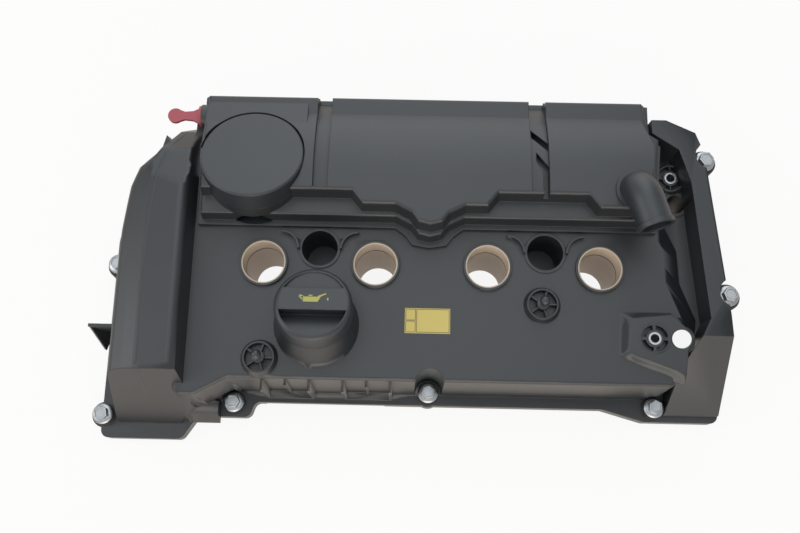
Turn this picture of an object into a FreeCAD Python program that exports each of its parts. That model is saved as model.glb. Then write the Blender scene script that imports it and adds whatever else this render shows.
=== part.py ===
import FreeCAD, Part
import math
import os
import re
import Sketcher
from FreeCAD import Vector

# Engine valve cover of a four cylinder engine, in millimetres.
# X runs along the engine, Y to the rear, Z up. The origin is the axis of the first
# plug well, on the joint face that seals to the cylinder head.

os.makedirs("parts", exist_ok=True)
doc = FreeCAD.newDocument("valve_cover")

# Driving dimensions

SIZES = [
    ("well_pitch", 84, "distance between neighbouring plug wells"),
    ("wall", 3, "wall of the moulded cover"),
    ("fit_gap", 0.1, "radial clearance of a running fit"),
    ("part_gap", 0.3, "clearance between pieces that do not seal"),
    ("draft", 2.5, "draft of the upright walls, degrees"),
    ("corner_round", 6, "plan radius of the walls"),
    ("edge_round", 3, "radius of the upper edges"),
    ("flange_thick", 12, "height of the joint flange"),
    ("flange_width", 11, "how far the flange stands out"),
    ("flange_step", 4, "height of the lower lip of the flange"),
    ("lip_start", -2, "left end of the gap in the lower lip"),
    ("lip_end", 92, "right end of the gap in the lower lip"),
    ("lip_depth", 2.5, "depth of the gap in the lower lip"),
    ("deck_top", 72, "height of the main deck"),
    ("deck_front", -87, "front edge of the deck"),
    ("deck_rear", 118, "rear edge of the deck"),
    ("deck_bow", 13, "how far the front edge swings out beside the hump"),
    ("deck_right", 299, "right edge of the deck"),
    ("deck_tip", 317, "right tip of the deck"),
    ("deck_tip_y", -46, "place of the right tip along Y"),
    ("hump_left", -118, "outer foot of the timing hump"),
    ("hump_right", -52, "inner foot of the timing hump"),
    ("hump_front", -117, "front foot of the timing hump"),
    ("hump_top", 96, "height of the timing hump"),
    ("hump_brow", -82, "where the front slope of the hump begins"),
    ("hump_back", 50, "where the rear arch of the hump begins"),
    ("hump_crease", -86, "crease along the hump"),
    ("hump_shoulder", 86, "height of the outer edge of the hump"),
    ("hump_lean", 12, "lean of the outer wall of the hump"),
    ("hump_inner_lean", 5, "lean of the inner wall of the hump"),
    ("hump_round", 7, "radius of the edges of the hump"),
    ("ridge_top", 80, "height of the right ridge"),
    ("ridge_brow", -50, "where the front slope of the ridge begins"),
    ("ridge_toe", 20, "height of the ridge at its front foot"),
    ("ridge_wall", 6, "wall of the ridge above the gasket"),
    ("ridge_front", -99, "front foot of the ridge"),
    ("ridge_right", 346, "outer edge of the ridge"),
    ("ridge_rear_right", 333, "outer edge of the ridge at the rear"),
    ("ridge_width", 15, "width of the top of the ridge"),
    ("ridge_draft", 2.5, "draft of the ridge, degrees"),
    ("channel_floor", 55, "height of the floor of the right channel"),
    ("channel_left", 315, "left side of the floor of the channel"),
    ("channel_slope", 42, "slope of the left side of the channel, degrees"),
    ("pad_top", 80, "height of the raised pad"),
    ("pad_left", 265, "left foot of the raised pad"),
    ("pad_slope_run", 8, "run of the sloping sides of the pad"),
    ("notch_radius", 11, "radius of the bolt notch in the front wall"),
    ("lobe_radius", 10, "radius of the flange around a bolt"),
    ("column_top", 62, "height of the two bolt columns of the ridge"),
    ("bolt_seat", 14, "height of the bolt seats of the flange"),
    ("head_room", 14, "height of the room for a bolt head beside a wall"),
    ("bolt_hole", 5.2, "radius of the bolt holes"),
    ("bolt_shank", 3, "radius of the bolt shank"),
    ("bolt_head", 4.9, "half the width across flats of the bolt head"),
    ("bolt_head_tall", 5.5, "height of the hexagon"),
    ("bolt_flange", 8, "radius of the flange of the bolt head"),
    ("bolt_flange_thick", 2, "thickness of the flange of the bolt head"),
    ("bolt_lift", 4, "how far the loose bolts stand above their seats"),
    ("bolt_end", 1, "height of the bolt ends above the joint face"),
    ("sleeve_wall", 0.8, "wall of the spacer sleeves"),
    ("grommet_radius", 7.4, "radius of the rubber rings under the heads"),
    ("grommet_thick", 3.4, "thickness of the rubber rings"),
    ("tube_bore", 15.6, "bore of the plug tubes"),
    ("tube_wall", 1.1, "wall of the plug tubes"),
    ("tube_rim", 74.4, "height of the top of the plug tubes"),
    ("tube_foot", 0, "height of the bottom of the plug tubes"),
    ("rim_top", 75, "height of the black rims of the wells"),
    ("rim_wall", 1.6, "wall of the black rims"),
    ("well_wall", 3, "wall of the wells under the deck"),
    ("seal_drop", 17.5, "depth of the seal below the rim"),
    ("seal_thick", 1.6, "thickness of the seal"),
    ("seal_depth", 0.6, "depth of the groove of the seal"),
    ("gasket_width", 3, "width of the gasket"),
    ("gasket_tall", 3.5, "height of the gasket"),
    ("gasket_inset", 1, "how far the gasket stands outside the wall line"),
    ("blind_radius", 13.5, "bore of the two blind wells"),
    ("blind_collar", 2.2, "wall of the blind wells"),
    ("blind_lift", 1.2, "how far the collars stand up"),
    ("blind_depth", 42, "depth of the blind wells"),
    ("blind_y", 11.8, "place of the blind wells along Y"),
    ("blind_one", 41.7, "place of the first blind well along X"),
    ("blind_two", 211.3, "place of the second blind well along X"),
    ("hook_reach", 17, "how far the hook ribs stand from a blind well"),
    ("hook_wall", 1.8, "thickness of the hook ribs"),
    ("hook_tall", 5, "height of the hook ribs"),
    ("neck_x", 41.5, "place of the filler neck along X"),
    ("neck_y", -45, "place of the filler neck along Y"),
    ("neck_tilt", 12, "tilt of the filler neck, degrees"),
    ("neck_base", 31.5, "radius of the neck at the deck"),
    ("neck_radius", 26, "radius of the neck at its top"),
    ("neck_tall", 19, "length of the neck above the deck"),
    ("neck_bore", 19, "bore of the neck"),
    ("cap_radius", 28, "radius of the oil filler cap"),
    ("cap_tall", 16, "height of the oil filler cap"),
    ("cap_skirt", 1.5, "how far the skirt hangs over the neck"),
    ("cap_round", 4, "radius of the upper edge of the cap"),
    ("grip_front", -5, "front face of the grip bar"),
    ("grip_rear", 12, "rear face of the grip bar"),
    ("grip_deep", 9, "depth of the front finger recess"),
    ("grip_step", 2.5, "depth of the rear finger recess"),
    ("grip_rim", 3.5, "wall around the finger recesses"),
    ("stem_long", 20, "length of the cap stem"),
    ("stem_wall", 2.5, "wall of the cap stem"),
    ("lug_long", 2.4, "how far the bayonet lugs stand out"),
    ("lug_half", 6, "half the width of the bayonet lugs"),
    ("catch_low", 2, "height of the underside of the bayonet catches"),
    ("catch_thick", 3, "thickness of the bayonet catches"),
    ("cap_seal", 2.6, "thickness of the cap seal"),
    ("stud_ring", 11.7, "radius of the spoked bosses"),
    ("stud_ring_wall", 1.4, "wall of the spoked bosses"),
    ("stud_top", 78, "height of the spoked bosses"),
    ("stud_hub", 4.4, "radius of the hubs"),
    ("stud_hole", 2.4, "bore of the hubs"),
    ("spoke_wall", 1.4, "thickness of the spokes"),
    ("stud_one_x", 0.8, "first spoked boss along X"),
    ("stud_one_y", -72.5, "first spoked boss along Y"),
    ("stud_two_x", 208.4, "second spoked boss along X"),
    ("stud_two_y", -28.6, "second spoked boss along Y"),
    ("insert_ring", 11, "radius of the insert bosses"),
    ("insert_radius", 4.7, "outer radius of the steel inserts"),
    ("insert_bore", 3.2, "bore of the steel inserts"),
    ("insert_long", 14, "length of the steel inserts"),
    ("insert_one_x", 289, "first insert along X"),
    ("insert_one_y", -53, "first insert along Y"),
    ("insert_two_x", 312, "second insert along X"),
    ("insert_two_y", 78, "second insert along Y"),
    ("insert_two_top", 60, "height of the second insert boss"),
    ("pass_radius", 7.2, "radius of the two through holes"),
    ("pass_one_x", 308.5, "first through hole along X"),
    ("pass_two_x", 316, "second through hole along X"),
    ("pass_two_y", 58, "second through hole along Y"),
    ("sep_base", 76, "height of the weld flange of the separator cover"),
    ("sep_front", 32, "front foot of the separator cover"),
    ("sep_rear", 128, "rear wall of the separator cover"),
    ("sep_left", -47.6, "left wall of the separator cover"),
    ("sep_right", 291, "right wall of the separator cover"),
    ("sep_top", 105, "height of the separator cover"),
    ("sep_shelf", 90, "height of the front shelves"),
    ("sep_crown", 62, "where the top begins to curve down"),
    ("sep_bend", 95, "radius of the curved top"),
    ("sep_step", 6, "setback of the upper front wall"),
    ("sep_bay", 16, "setback of the upper wall behind the shelves"),
    ("sep_draft", 7, "draft of the separator walls, degrees"),
    ("sep_wall", 2.5, "wall of the separator cover"),
    ("weld_lip", 4, "how far the weld flange stands out"),
    ("nose_x", 124, "place of the nose along X"),
    ("nose_reach", 15, "how far the nose stands forward"),
    ("nose_half", 9, "half the width of the nose tip"),
    ("nose_root", 26, "half the width of the nose root"),
    ("bay_one_end", 66, "right end of the left shelf"),
    ("bay_two_start", 174, "left end of the right shelf"),
    ("bay_two_end", 240, "right end of the right shelf"),
    ("shelf_round", 2, "radius of the edges of the shelves"),
    ("crown_round", 3, "radius of the upper edges of the separator cover"),
    ("bay_slant", 8, "slant of the ends of the shelves"),
    ("groove_one", 37, "left side of the left channel"),
    ("groove_one_width", 11, "width of the left channel"),
    ("groove_two", 198, "left side of the right channel"),
    ("groove_two_width", 13, "width of the right channel"),
    ("groove_deep", 4, "depth of the two channels"),
    ("slot_deep", 5, "depth of the slots in the right channel"),
    ("pcv_x", -8.6, "centre of the diaphragm cap along X"),
    ("pcv_y", 75.3, "centre of the diaphragm cap along Y"),
    ("pcv_z", 104, "centre of the diaphragm cap along Z"),
    ("pcv_tilt", 16.8, "tilt of the diaphragm cap, degrees"),
    ("pcv_radius", 38.5, "radius of the diaphragm cap"),
    ("pcv_wall", 2.5, "wall of the diaphragm cap"),
    ("pcv_skirt", 17, "height of the side of the diaphragm cap"),
    ("pcv_block", 54, "length of the block behind the cap centre"),
    ("block_round", 10, "radius of the rear corners of the block"),
    ("pcv_chamber", 30, "radius of the diaphragm chamber"),
    ("pcv_chamber_top", 8, "depth of the rim of the chamber below the cap top"),
    ("pcv_chamber_floor", 20, "depth of the floor of the chamber below the cap top"),
    ("membrane_fold", 4, "depth of the fold of the diaphragm"),
    ("membrane_rim", 33.5, "radius of the diaphragm rim"),
    ("membrane_thick", 1.5, "thickness of the diaphragm"),
    ("plate_radius", 14, "radius of the support plate"),
    ("plate_thick", 2, "thickness of the support plate"),
    ("plate_drop", 9.5, "depth of the support plate below the cap top"),
    ("seat_top_drop", 14.9, "depth of the valve seat below the cap top"),
    ("plate_travel", 3, "travel of the support plate"),
    ("seat_radius", 6, "outer radius of the valve seat"),
    ("seat_bore", 4.5, "bore of the valve seat"),
    ("spring_radius", 9, "mean radius of the spring"),
    ("spring_wire", 0.7, "radius of the spring wire"),
    ("spring_turns", 4, "turns of the spring"),
    ("elbow_x", 274, "vent elbow along X"),
    ("elbow_y", 52, "vent elbow along Y"),
    ("elbow_radius", 12.8, "outer radius of the vent elbow"),
    ("elbow_bore", 10.8, "bore of the vent elbow"),
    ("elbow_height", 118.5, "height of the level run of the elbow"),
    ("elbow_bend", 13.5, "bend radius of the elbow"),
    ("elbow_reach", 33, "how far the elbow reaches forward"),
    ("elbow_turn", 16.5, "turn of the elbow to the right, degrees"),
    ("elbow_seal_thick", 1.6, "thickness of the elbow seal"),
    ("port_radius", 9, "radius of the port of the block"),
    ("port_long", 5, "length of the port"),
    ("port_bore", 6.5, "bore of the port"),
    ("port_drop", 10, "depth of the port axis below the block top"),
    ("port_back", 42, "place of the port behind the cap centre"),
    ("plug_flange", 8, "radius of the flange of the closing plug"),
    ("plug_paddle", 5.8, "radius of the round end of the closing plug"),
    ("plug_reach", 21, "reach of the paddle from the plug"),
    ("plug_waist", 3.2, "half the width of the paddle at its waist"),
    ("plug_thick", 2.6, "thickness of the paddle"),
    ("baffle_thick", 2, "thickness of the oil baffle"),
    ("baffle_drop", 14, "height of the baffle posts under the deck"),
    ("baffle_front", 36, "front edge of the baffle"),
    ("baffle_rear", 108, "rear edge of the baffle"),
    ("baffle_left", 40, "left edge of the baffle"),
    ("baffle_right", 276, "right edge of the baffle"),
    ("post_radius", 4.5, "radius of the baffle posts"),
    ("screw_radius", 1.8, "radius of the baffle screws"),
    ("screw_head", 3.8, "radius of the heads of the baffle screws"),
    ("valve_radius", 9, "radius of the check valve flaps"),
    ("valve_thick", 1, "thickness of the check valve flaps"),
    ("clip_one_x", 1, "left end of the first cable clip bay"),
    ("clip_two_x", 61, "left end of the second cable clip bay"),
    ("clip_long", 37, "length of a cable clip bay"),
    ("clip_out", 8, "how far the clip bays stand out"),
    ("clip_top", 64, "height of the clip bays"),
    ("fin_reach", 19, "reach of the side fin"),
    ("fin_tall", 32, "height of the side fin"),
    ("fin_y", -44, "place of the side fin along Y"),
    ("ledge_x", -60, "left end of the front ledge"),
    ("ledge_long", 24, "length of the front ledge"),
    ("ledge_tall", 18, "height of the front ledge"),
]

VALUES = {name: value for name, value, note in SIZES}
sheet = doc.addObject("Spreadsheet::Sheet", "sizes")
for row, (name, value, note) in enumerate(SIZES, start=1):
    sheet.set("A%d" % row, note)
    sheet.set("B%d" % row, str(value))
    sheet.setAlias("B%d" % row, name)
doc.recompute()

# Bolts: place along X and Y, and whether the bolt stands on a column of the ridge.
# Each one is a driving dimension of its own cell, named by its number.

BOLTS = [
    (-127, -110.5, "bolt_seat"),
    (-25.6, -99, "bolt_seat"),
    (126, -88.7, "bolt_seat"),
    (302, -96.4, "bolt_seat"),
    (349, -17, "column_top"),
    (337, 90, "column_top"),
    (-126, 10, "bolt_seat"),
    (-30, 136, "bolt_seat"),
    (75, 136, "bolt_seat"),
    (180, 136, "bolt_seat"),
    (286, 136, "bolt_seat"),
]
first_bolt_row = len(SIZES) + 1
for number, (bolt_x, bolt_y, seat) in enumerate(BOLTS, start=1):
    for letter, value in (("x", bolt_x), ("y", bolt_y)):
        row = first_bolt_row + 2 * (number - 1) + (letter == "y")
        name = "bolt_%s_no%d" % (letter, number)
        sheet.set("A%d" % row, "bolt %d along %s" % (number, letter.upper()))
        sheet.set("B%d" % row, str(value))
        sheet.setAlias("B%d" % row, name)
        VALUES[name] = value
doc.recompute()


# Working with the sheet


def bound(text):
    """The expression with each name of the sheet written as the sheet wants it."""
    def swap(match):
        word = match.group(0)
        return "sizes." + word if word in VALUES else word
    return re.sub(r"[a-z][a-z_0-9]*", swap, str(text))


def value(text):
    """The number that an expression of sheet names gives now."""
    return float(sheet.evalExpression(bound(text)))


def place(item, x="0", y="0", z="0", axis="1; 0; 0", angle="0"):
    """Binds the placement of a piece to the sheet."""
    spot = "create(<<vector>>; %s; %s; %s)" % (bound(x), bound(y), bound(z))
    turn = "create(<<rotation>>; create(<<vector>>; %s); %s)" % (axis, bound(angle))
    item.setExpression("Placement", "create(<<placement>>; %s; %s)" % (spot, turn))


# Bodies, sketches and features


def new_body(label):
    body = doc.addObject("PartDesign::Body", label)
    body.Label = label
    return body


def new_sketch(body, name, role="XY_Plane", offset="0"):
    sketch = body.newObject("Sketcher::SketchObject", name)
    flat = [item for item in body.Origin.OriginFeatures if item.Role == role][0]
    sketch.AttachmentSupport = [(flat, "")]
    sketch.MapMode = "FlatFace"
    sketch.setExpression("AttachmentOffset.Base.z", bound(offset))
    return sketch


def pin_point(sketch, item, point, across, up):
    """Ties a point of the sketch to two expressions."""
    for kind, text in (("DistanceX", across), ("DistanceY", up)):
        rule = Sketcher.Constraint(kind, -1, 1, item, point, value(text))
        index = sketch.addConstraint(rule)
        sketch.setExpression("Constraints[%d]" % index, bound(text))


def add_polygon(sketch, corners):
    """A closed outline of straight lines through the corners."""
    spots = [Vector(value(across), value(up), 0) for across, up in corners]
    count = len(spots)
    first = sketch.GeometryCount
    for index in range(count):
        sketch.addGeometry(Part.LineSegment(spots[index], spots[(index + 1) % count]))
    for index in range(count):
        after = first + (index + 1) % count
        sketch.addConstraint(Sketcher.Constraint("Coincident", first + index, 2, after, 1))
    for index, (across, up) in enumerate(corners):
        pin_point(sketch, first + index, 1, across, up)
    return sketch


def add_circle(sketch, across, up, radius):
    ring = Part.Circle(Vector(value(across), value(up), 0), Vector(0, 0, 1), value(radius))
    item = sketch.addGeometry(ring)
    pin_point(sketch, item, 3, across, up)
    index = sketch.addConstraint(Sketcher.Constraint("Radius", item, value(radius)))
    sketch.setExpression("Constraints[%d]" % index, bound(radius))
    return sketch


def add_rectangle(sketch, left, right, low, high):
    return add_polygon(sketch, [(left, low), (right, low), (right, high), (left, high)])


def pad(body, sketch, length, taper="0", down=False, middle=False):
    feature = body.newObject("PartDesign::Pad", sketch.Name + "_pad")
    feature.Profile = sketch
    feature.setExpression("Length", bound(length))
    feature.setExpression("TaperAngle", bound(taper))
    feature.Reversed = down
    feature.Midplane = middle
    sketch.Visibility = False
    return feature


def pocket(body, sketch, length, up=False, middle=False):
    """Cuts the sketch into the body and checks that it did cut."""
    doc.recompute()
    before = body.Shape.Volume
    feature = body.newObject("PartDesign::Pocket", sketch.Name + "_pocket")
    feature.Profile = sketch
    feature.setExpression("Length", bound(length))
    feature.Reversed = up
    feature.Midplane = middle
    doc.recompute()
    if body.Shape.Volume >= before:
        raise ValueError(sketch.Name + " cuts nothing")
    return feature


def revolve(body, sketch):
    feature = body.newObject("PartDesign::Revolution", sketch.Name + "_turn")
    feature.Profile = sketch
    feature.ReferenceAxis = (sketch, ["V_Axis"])
    feature.Angle = 360
    return feature


def turned(label, corners):
    """A body turned about Z from corners given as radius and height."""
    body = new_body(label)
    revolve(body, add_polygon(new_sketch(body, label + "_section", "XZ_Plane"), corners))
    return body


def repeat_round(body, feature, count):
    """Repeats a feature about the Z axis of its body."""
    upright = [item for item in body.Origin.OriginFeatures if item.Role == "Z_Axis"][0]
    pattern = body.newObject("PartDesign::PolarPattern", feature.Name + "_round")
    pattern.Originals = [feature]
    pattern.Axis = (upright, [""])
    pattern.Angle = 360
    pattern.Occurrences = count
    body.Tip = pattern
    return pattern


def edges_where(shape, test):
    return ["Edge%d" % (i + 1) for i, edge in enumerate(shape.Edges) if test(edge)]


def is_upright(edge):
    ends = [vertex.Point for vertex in edge.Vertexes]
    if len(ends) < 2:
        return False
    run = ends[1] - ends[0]
    return abs(run.z) > 4 * math.hypot(run.x, run.y)


def runs_along(edge, axis):
    """Whether the edge is a straight one along the axis named x, y or z."""
    ends = [vertex.Point for vertex in edge.Vertexes]
    if len(ends) < 2:
        return False
    run = ends[1] - ends[0]
    return abs(getattr(run, axis)) > 0.999 * run.Length


def lies_at(edge, height):
    return all(abs(vertex.Z - height) < 0.01 for vertex in edge.Vertexes)


def round_body(body, name, radius, test):
    """A fillet on the edges of the body that pass the test."""
    doc.recompute()
    base = body.Tip
    chosen = edges_where(base.Shape, test)
    feature = body.newObject("PartDesign::Fillet", name)
    feature.Base = (base, chosen)
    feature.setExpression("Radius", bound(radius))
    return feature


def fuse(label, items):
    whole = doc.addObject("Part::MultiFuse", label)
    whole.Shapes = items
    whole.Label = label
    return whole


def common(label, items):
    whole = doc.addObject("Part::MultiCommon", label)
    whole.Shapes = items
    whole.Label = label
    return whole


def cut(label, base, tool):
    whole = doc.addObject("Part::Cut", label)
    whole.Base = base
    whole.Tool = tool
    whole.Label = label
    return whole


def round_part(label, base, radius, test):
    """A Part fillet on the edges of a finished form that pass the test."""
    doc.recompute()
    whole = doc.addObject("Part::Fillet", label)
    whole.Base = base
    size = value(radius)
    whole.Edges = [(i + 1, size, size) for i, edge in enumerate(base.Shape.Edges) if test(edge)]
    whole.Label = label
    return whole


def cylinder(label, radius, height, x="0", y="0", z="0", angle="0"):
    item = doc.addObject("Part::Cylinder", label)
    item.setExpression("Radius", bound(radius))
    item.setExpression("Height", bound(height))
    place(item, x, y, z, angle=angle)
    return item


def cone(label, low_radius, high_radius, height, x="0", y="0", z="0", angle="0"):
    item = doc.addObject("Part::Cone", label)
    item.setExpression("Radius1", bound(low_radius))
    item.setExpression("Radius2", bound(high_radius))
    item.setExpression("Height", bound(height))
    place(item, x, y, z, angle=angle)
    return item


def box(label, x, y, z, long, wide, tall):
    item = doc.addObject("Part::Box", label)
    item.setExpression("Length", bound(long))
    item.setExpression("Width", bound(wide))
    item.setExpression("Height", bound(tall))
    place(item, x, y, z)
    return item


def block(label, corners, base, height, taper="0", role="XY_Plane", down=False):
    """A body padded from an outline that lies at the given height."""
    body = new_body(label)
    pad(body, add_polygon(new_sketch(body, label + "_outline", role, base), corners), height, taper, down)
    return body


# The outlines that several forms share. The inset moves a line inward by a wall.


def deck_outline(inset="0"):
    """The edge of the deck, from the hump round to the right end."""
    return [
        ("hump_right - 10", "deck_front - deck_bow + 2 * (%s)" % inset),
        ("hump_right + 6 - 2 * (%s)" % inset, "deck_front - deck_bow + 2 * (%s)" % inset),
        ("hump_right + 30", "deck_front + (%s)" % inset),
        ("deck_tip - 14 - (%s)" % inset, "deck_front + (%s)" % inset),
        ("deck_tip - 6 - (%s)" % inset, "deck_front + 10"),
        ("deck_tip - (%s)" % inset, "deck_tip_y"),
        ("deck_right - (%s)" % inset, "deck_tip_y + 32"),
        ("deck_right - (%s)" % inset, "deck_rear - (%s)" % inset),
        ("hump_right - 10", "deck_rear - (%s)" % inset),
    ]


def hump_section(inset="0"):
    """The section of the hump across the engine."""
    return [
        ("hump_left + (%s)" % inset, "0 - (%s)" % inset),
        ("hump_right - (%s)" % inset, "0 - (%s)" % inset),
        ("hump_right - (%s)" % inset, "deck_top * 0.8"),
        ("hump_right - hump_inner_lean - (%s)" % inset, "hump_top - (%s)" % inset),
        ("hump_crease", "hump_top - 3 - (%s)" % inset),
        ("hump_left + hump_lean + (%s)" % inset, "hump_shoulder - (%s)" % inset),
    ]


def hump_side(inset="0"):
    """The side view of the hump, without its rear arch."""
    return [
        ("hump_front + (%s)" % inset, "0 - (%s)" % inset),
        ("deck_rear - (%s)" % inset, "0 - (%s)" % inset),
        ("deck_rear - (%s)" % inset, "hump_top * 0.45"),
        ("deck_rear - 13 - (%s)" % inset, "hump_top * 0.72 - (%s)" % inset),
        ("deck_rear - 34 - (%s)" % inset, "hump_top * 0.9 - (%s)" % inset),
        ("hump_back", "hump_top - (%s)" % inset),
        ("hump_brow + (%s)" % inset, "hump_top - (%s)" % inset),
        ("hump_front + 1 + (%s)" % inset, "flange_thick + 2"),
    ]


def hump_plan(inset="0"):
    """The plan of the hump with its slanted front corner and round rear corner."""
    return [
        ("hump_left + (%s)" % inset, "hump_front + (%s)" % inset),
        ("hump_right - 16 - (%s)" % inset, "hump_front + (%s)" % inset),
        ("hump_right - (%s)" % inset, "hump_front + 14 + (%s)" % inset),
        ("hump_right - (%s)" % inset, "deck_rear - (%s)" % inset),
        ("hump_left + 22", "deck_rear - (%s)" % inset),
        ("hump_left + 6 + (%s)" % inset, "deck_rear - 8 - (%s)" % inset),
        ("hump_left + (%s)" % inset, "deck_rear - 24"),
    ]


def ridge_outline(inset="0"):
    """The top of the right ridge: up its outer edge and back down its inner edge."""
    return [
        ("ridge_right - ridge_width * 2.2 + (%s)" % inset, "ridge_front + (%s)" % inset),
        ("ridge_right + 3 - (%s)" % inset, "ridge_front + (%s)" % inset),
        ("ridge_right - (%s)" % inset, "ridge_front + 65"),
        ("ridge_rear_right - (%s)" % inset, "deck_rear - 26"),
        ("ridge_rear_right - 6 - (%s)" % inset, "deck_rear - 10 - (%s)" % inset),
        ("ridge_rear_right - 28", "deck_rear - (%s)" % inset),
        ("deck_right - 5", "deck_rear - (%s)" % inset),
        ("deck_right - 5", "deck_rear - 11 + (%s)" % inset),
        ("ridge_rear_right - ridge_width - 4 + (%s)" % inset, "deck_rear - 24"),
        ("ridge_rear_right - ridge_width + 4 + (%s)" % inset, "deck_rear - 50"),
        ("ridge_right - ridge_width + (%s)" % inset, "ridge_front + 62"),
        ("ridge_right - ridge_width - 10 + (%s)" % inset, "ridge_front + 42"),
        ("ridge_right - ridge_width * 2 + (%s)" % inset, "ridge_front + 30"),
    ]


def ridge_side(inset="0"):
    """The side view of the ridge with its front slope."""
    return [
        ("ridge_front - 8", "0 - (%s)" % inset),
        ("deck_rear + 9", "0 - (%s)" % inset),
        ("deck_rear + 9", "ridge_top - (%s)" % inset),
        ("ridge_brow", "ridge_top - (%s)" % inset),
        ("ridge_front - 8", "ridge_toe - 8 - (%s)" % inset),
    ]


def channel_outline(inset="0"):
    """The low floor between the deck and the ridge."""
    return [
        ("deck_right - 12", "deck_tip_y - 4"),
        ("ridge_right - 4 - (%s)" % inset, "deck_tip_y - 4"),
        ("ridge_rear_right - 2 - (%s)" % inset, "deck_rear - 26"),
        ("ridge_rear_right - 12 - (%s)" % inset, "deck_rear - 9 - (%s)" % inset),
        ("deck_right + 4", "deck_rear - (%s)" % inset),
        ("deck_right - 12", "deck_rear - (%s)" % inset),
    ]


def separator_front(inset, rise, nose="nose_reach"):
    """The front line of the separator cover with its nose, left to right."""
    line = "sep_front + (%s) + (%s)" % (inset, rise)
    return [
        ("nose_x - nose_root", line),
        ("nose_x - nose_half - 5 + (%s)" % inset, line + " - " + nose + " * 0.4"),
        ("nose_x - nose_half + (%s)" % inset, line + " - " + nose + " * 0.85"),
        ("nose_x", line + " - " + nose),
        ("nose_x + nose_half - (%s)" % inset, line + " - " + nose + " * 0.85"),
        ("nose_x + nose_half + 5 - (%s)" % inset, line + " - " + nose + " * 0.4"),
        ("nose_x + nose_root", line),
    ]


def separator_low(inset="0"):
    """The foot of the separator cover."""
    line = "sep_front + (%s)" % inset
    return [("sep_left + (%s)" % inset, line)] + separator_front(inset, "0") + [
        ("sep_right - (%s)" % inset, line),
        ("sep_right + 6 - (%s)" % inset, "sep_rear - 30"),
        ("sep_right - 1.6 - (%s)" % inset, "sep_rear - 25"),
        ("sep_right - 6 - (%s)" % inset, "sep_rear - (%s)" % inset),
        ("sep_left + (%s)" % inset, "sep_rear - (%s)" % inset),
    ]


def separator_high(inset="0"):
    """The upper walls of the separator cover, set back behind the shelves."""
    bay = "sep_front + sep_bay + (%s)" % inset
    line = "sep_front + sep_step + (%s)" % inset
    return [
        ("sep_left + 3 + (%s)" % inset, bay),
        ("bay_one_end + (%s)" % inset, bay),
        ("bay_one_end + bay_slant + (%s)" % inset, line),
    ] + separator_front(inset, "sep_step") + [
        ("bay_two_start - bay_slant - (%s)" % inset, line),
        ("bay_two_start - (%s)" % inset, bay),
        ("bay_two_end + (%s)" % inset, bay),
        ("bay_two_end + bay_slant + (%s)" % inset, line),
        ("sep_right - 3 - (%s)" % inset, line),
        ("sep_right - 2 - (%s)" % inset, "sep_rear - 40"),
        ("sep_right - 14 - (%s)" % inset, "sep_rear - 3.5 - (%s)" % inset),
        ("sep_left + 3 + (%s)" % inset, "sep_rear - 3.5 - (%s)" % inset),
    ]


def wall_outline(grow):
    """The line of the outer walls at the joint face, with the bolt notch."""
    line = [
        ("hump_left - (%s)" % grow, "hump_front - (%s)" % grow),
        ("hump_right - 16 + (%s)" % grow, "hump_front - (%s)" % grow),
        ("hump_right + 1 + (%s)" % grow, "deck_front - deck_bow - 2 - (%s)" % grow),
        ("hump_right + 24 + (%s)" % grow, "deck_front - 3 - (%s)" % grow),
        ("bolt_x_no3 - notch_radius - 3 + (%s)" % grow, "deck_front - 3 - (%s)" % grow),
        ("bolt_x_no3 - notch_radius + 4 + (%s)" % grow, "deck_front + notch_radius - (%s)" % grow),
        ("bolt_x_no3 + notch_radius - 4 - (%s)" % grow, "deck_front + notch_radius - (%s)" % grow),
        ("bolt_x_no3 + notch_radius + 3 - (%s)" % grow, "deck_front - 3 - (%s)" % grow),
        ("bolt_x_no4 - 14", "deck_front - 3 - (%s)" % grow),
        ("bolt_x_no4 - 8", "deck_front - 1 - (%s)" % grow),
        ("bolt_x_no4 + 10 + (%s)" % grow, "deck_front - 1 - (%s)" % grow),
        ("bolt_x_no4 + 14 + (%s)" % grow, "ridge_front - 1 - (%s)" % grow),
        ("ridge_right + 3.5 + (%s)" % grow, "ridge_front - 1 - (%s)" % grow),
    ]
    for bolt, before, after in (
        ("no5", "ridge_right + 1", "ridge_right - 3.5"),
        ("no6", "ridge_rear_right + 2.5", ""),
    ):
        inner = "bolt_x_%s - notch_radius + 2 + (%s)" % (bolt, grow)
        line += [
            (before + " + (%s)" % grow, "bolt_y_%s - notch_radius - 5" % bolt),
            (inner, "bolt_y_%s - notch_radius + 1" % bolt),
            (inner, "bolt_y_%s + notch_radius - 1" % bolt),
        ]
        if after:
            line.append((after + " + (%s)" % grow, "bolt_y_%s + notch_radius + 5" % bolt))
    return line + [
        ("ridge_rear_right - 7 + (%s)" % grow, "deck_rear - 4 + (%s)" % grow),
        ("ridge_rear_right - 20 + (%s)" % grow, "deck_rear + 3 + (%s)" % grow),
        ("hump_left + 24", "deck_rear + 3 + (%s)" % grow),
        ("hump_left - (%s)" % grow, "deck_rear - 20"),
    ]


def flange_outline():
    """The outer edge of the joint flange."""
    return [
        ("hump_left - flange_width", "hump_front - flange_width"),
        ("hump_right - 14", "hump_front - flange_width"),
        ("hump_right - 2", "hump_front + 7"),
        ("bolt_x_no2 + lobe_radius + 2", "hump_front + 7"),
        ("bolt_x_no2 + lobe_radius + 6", "deck_front - flange_width"),
        ("deck_tip - 54", "deck_front - flange_width"),
        ("deck_tip - 22", "ridge_front - flange_width + 3"),
        ("ridge_right + 7", "ridge_front - flange_width + 3"),
        ("ridge_right + 6", "ridge_front + 65"),
        ("ridge_rear_right + 7", "deck_rear - 24"),
        ("ridge_rear_right - 4", "deck_rear + 4"),
        ("ridge_rear_right - 22", "deck_rear + flange_width"),
        ("hump_left + 20", "deck_rear + flange_width"),
        ("hump_left - flange_width", "deck_rear - 16"),
    ]


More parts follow.
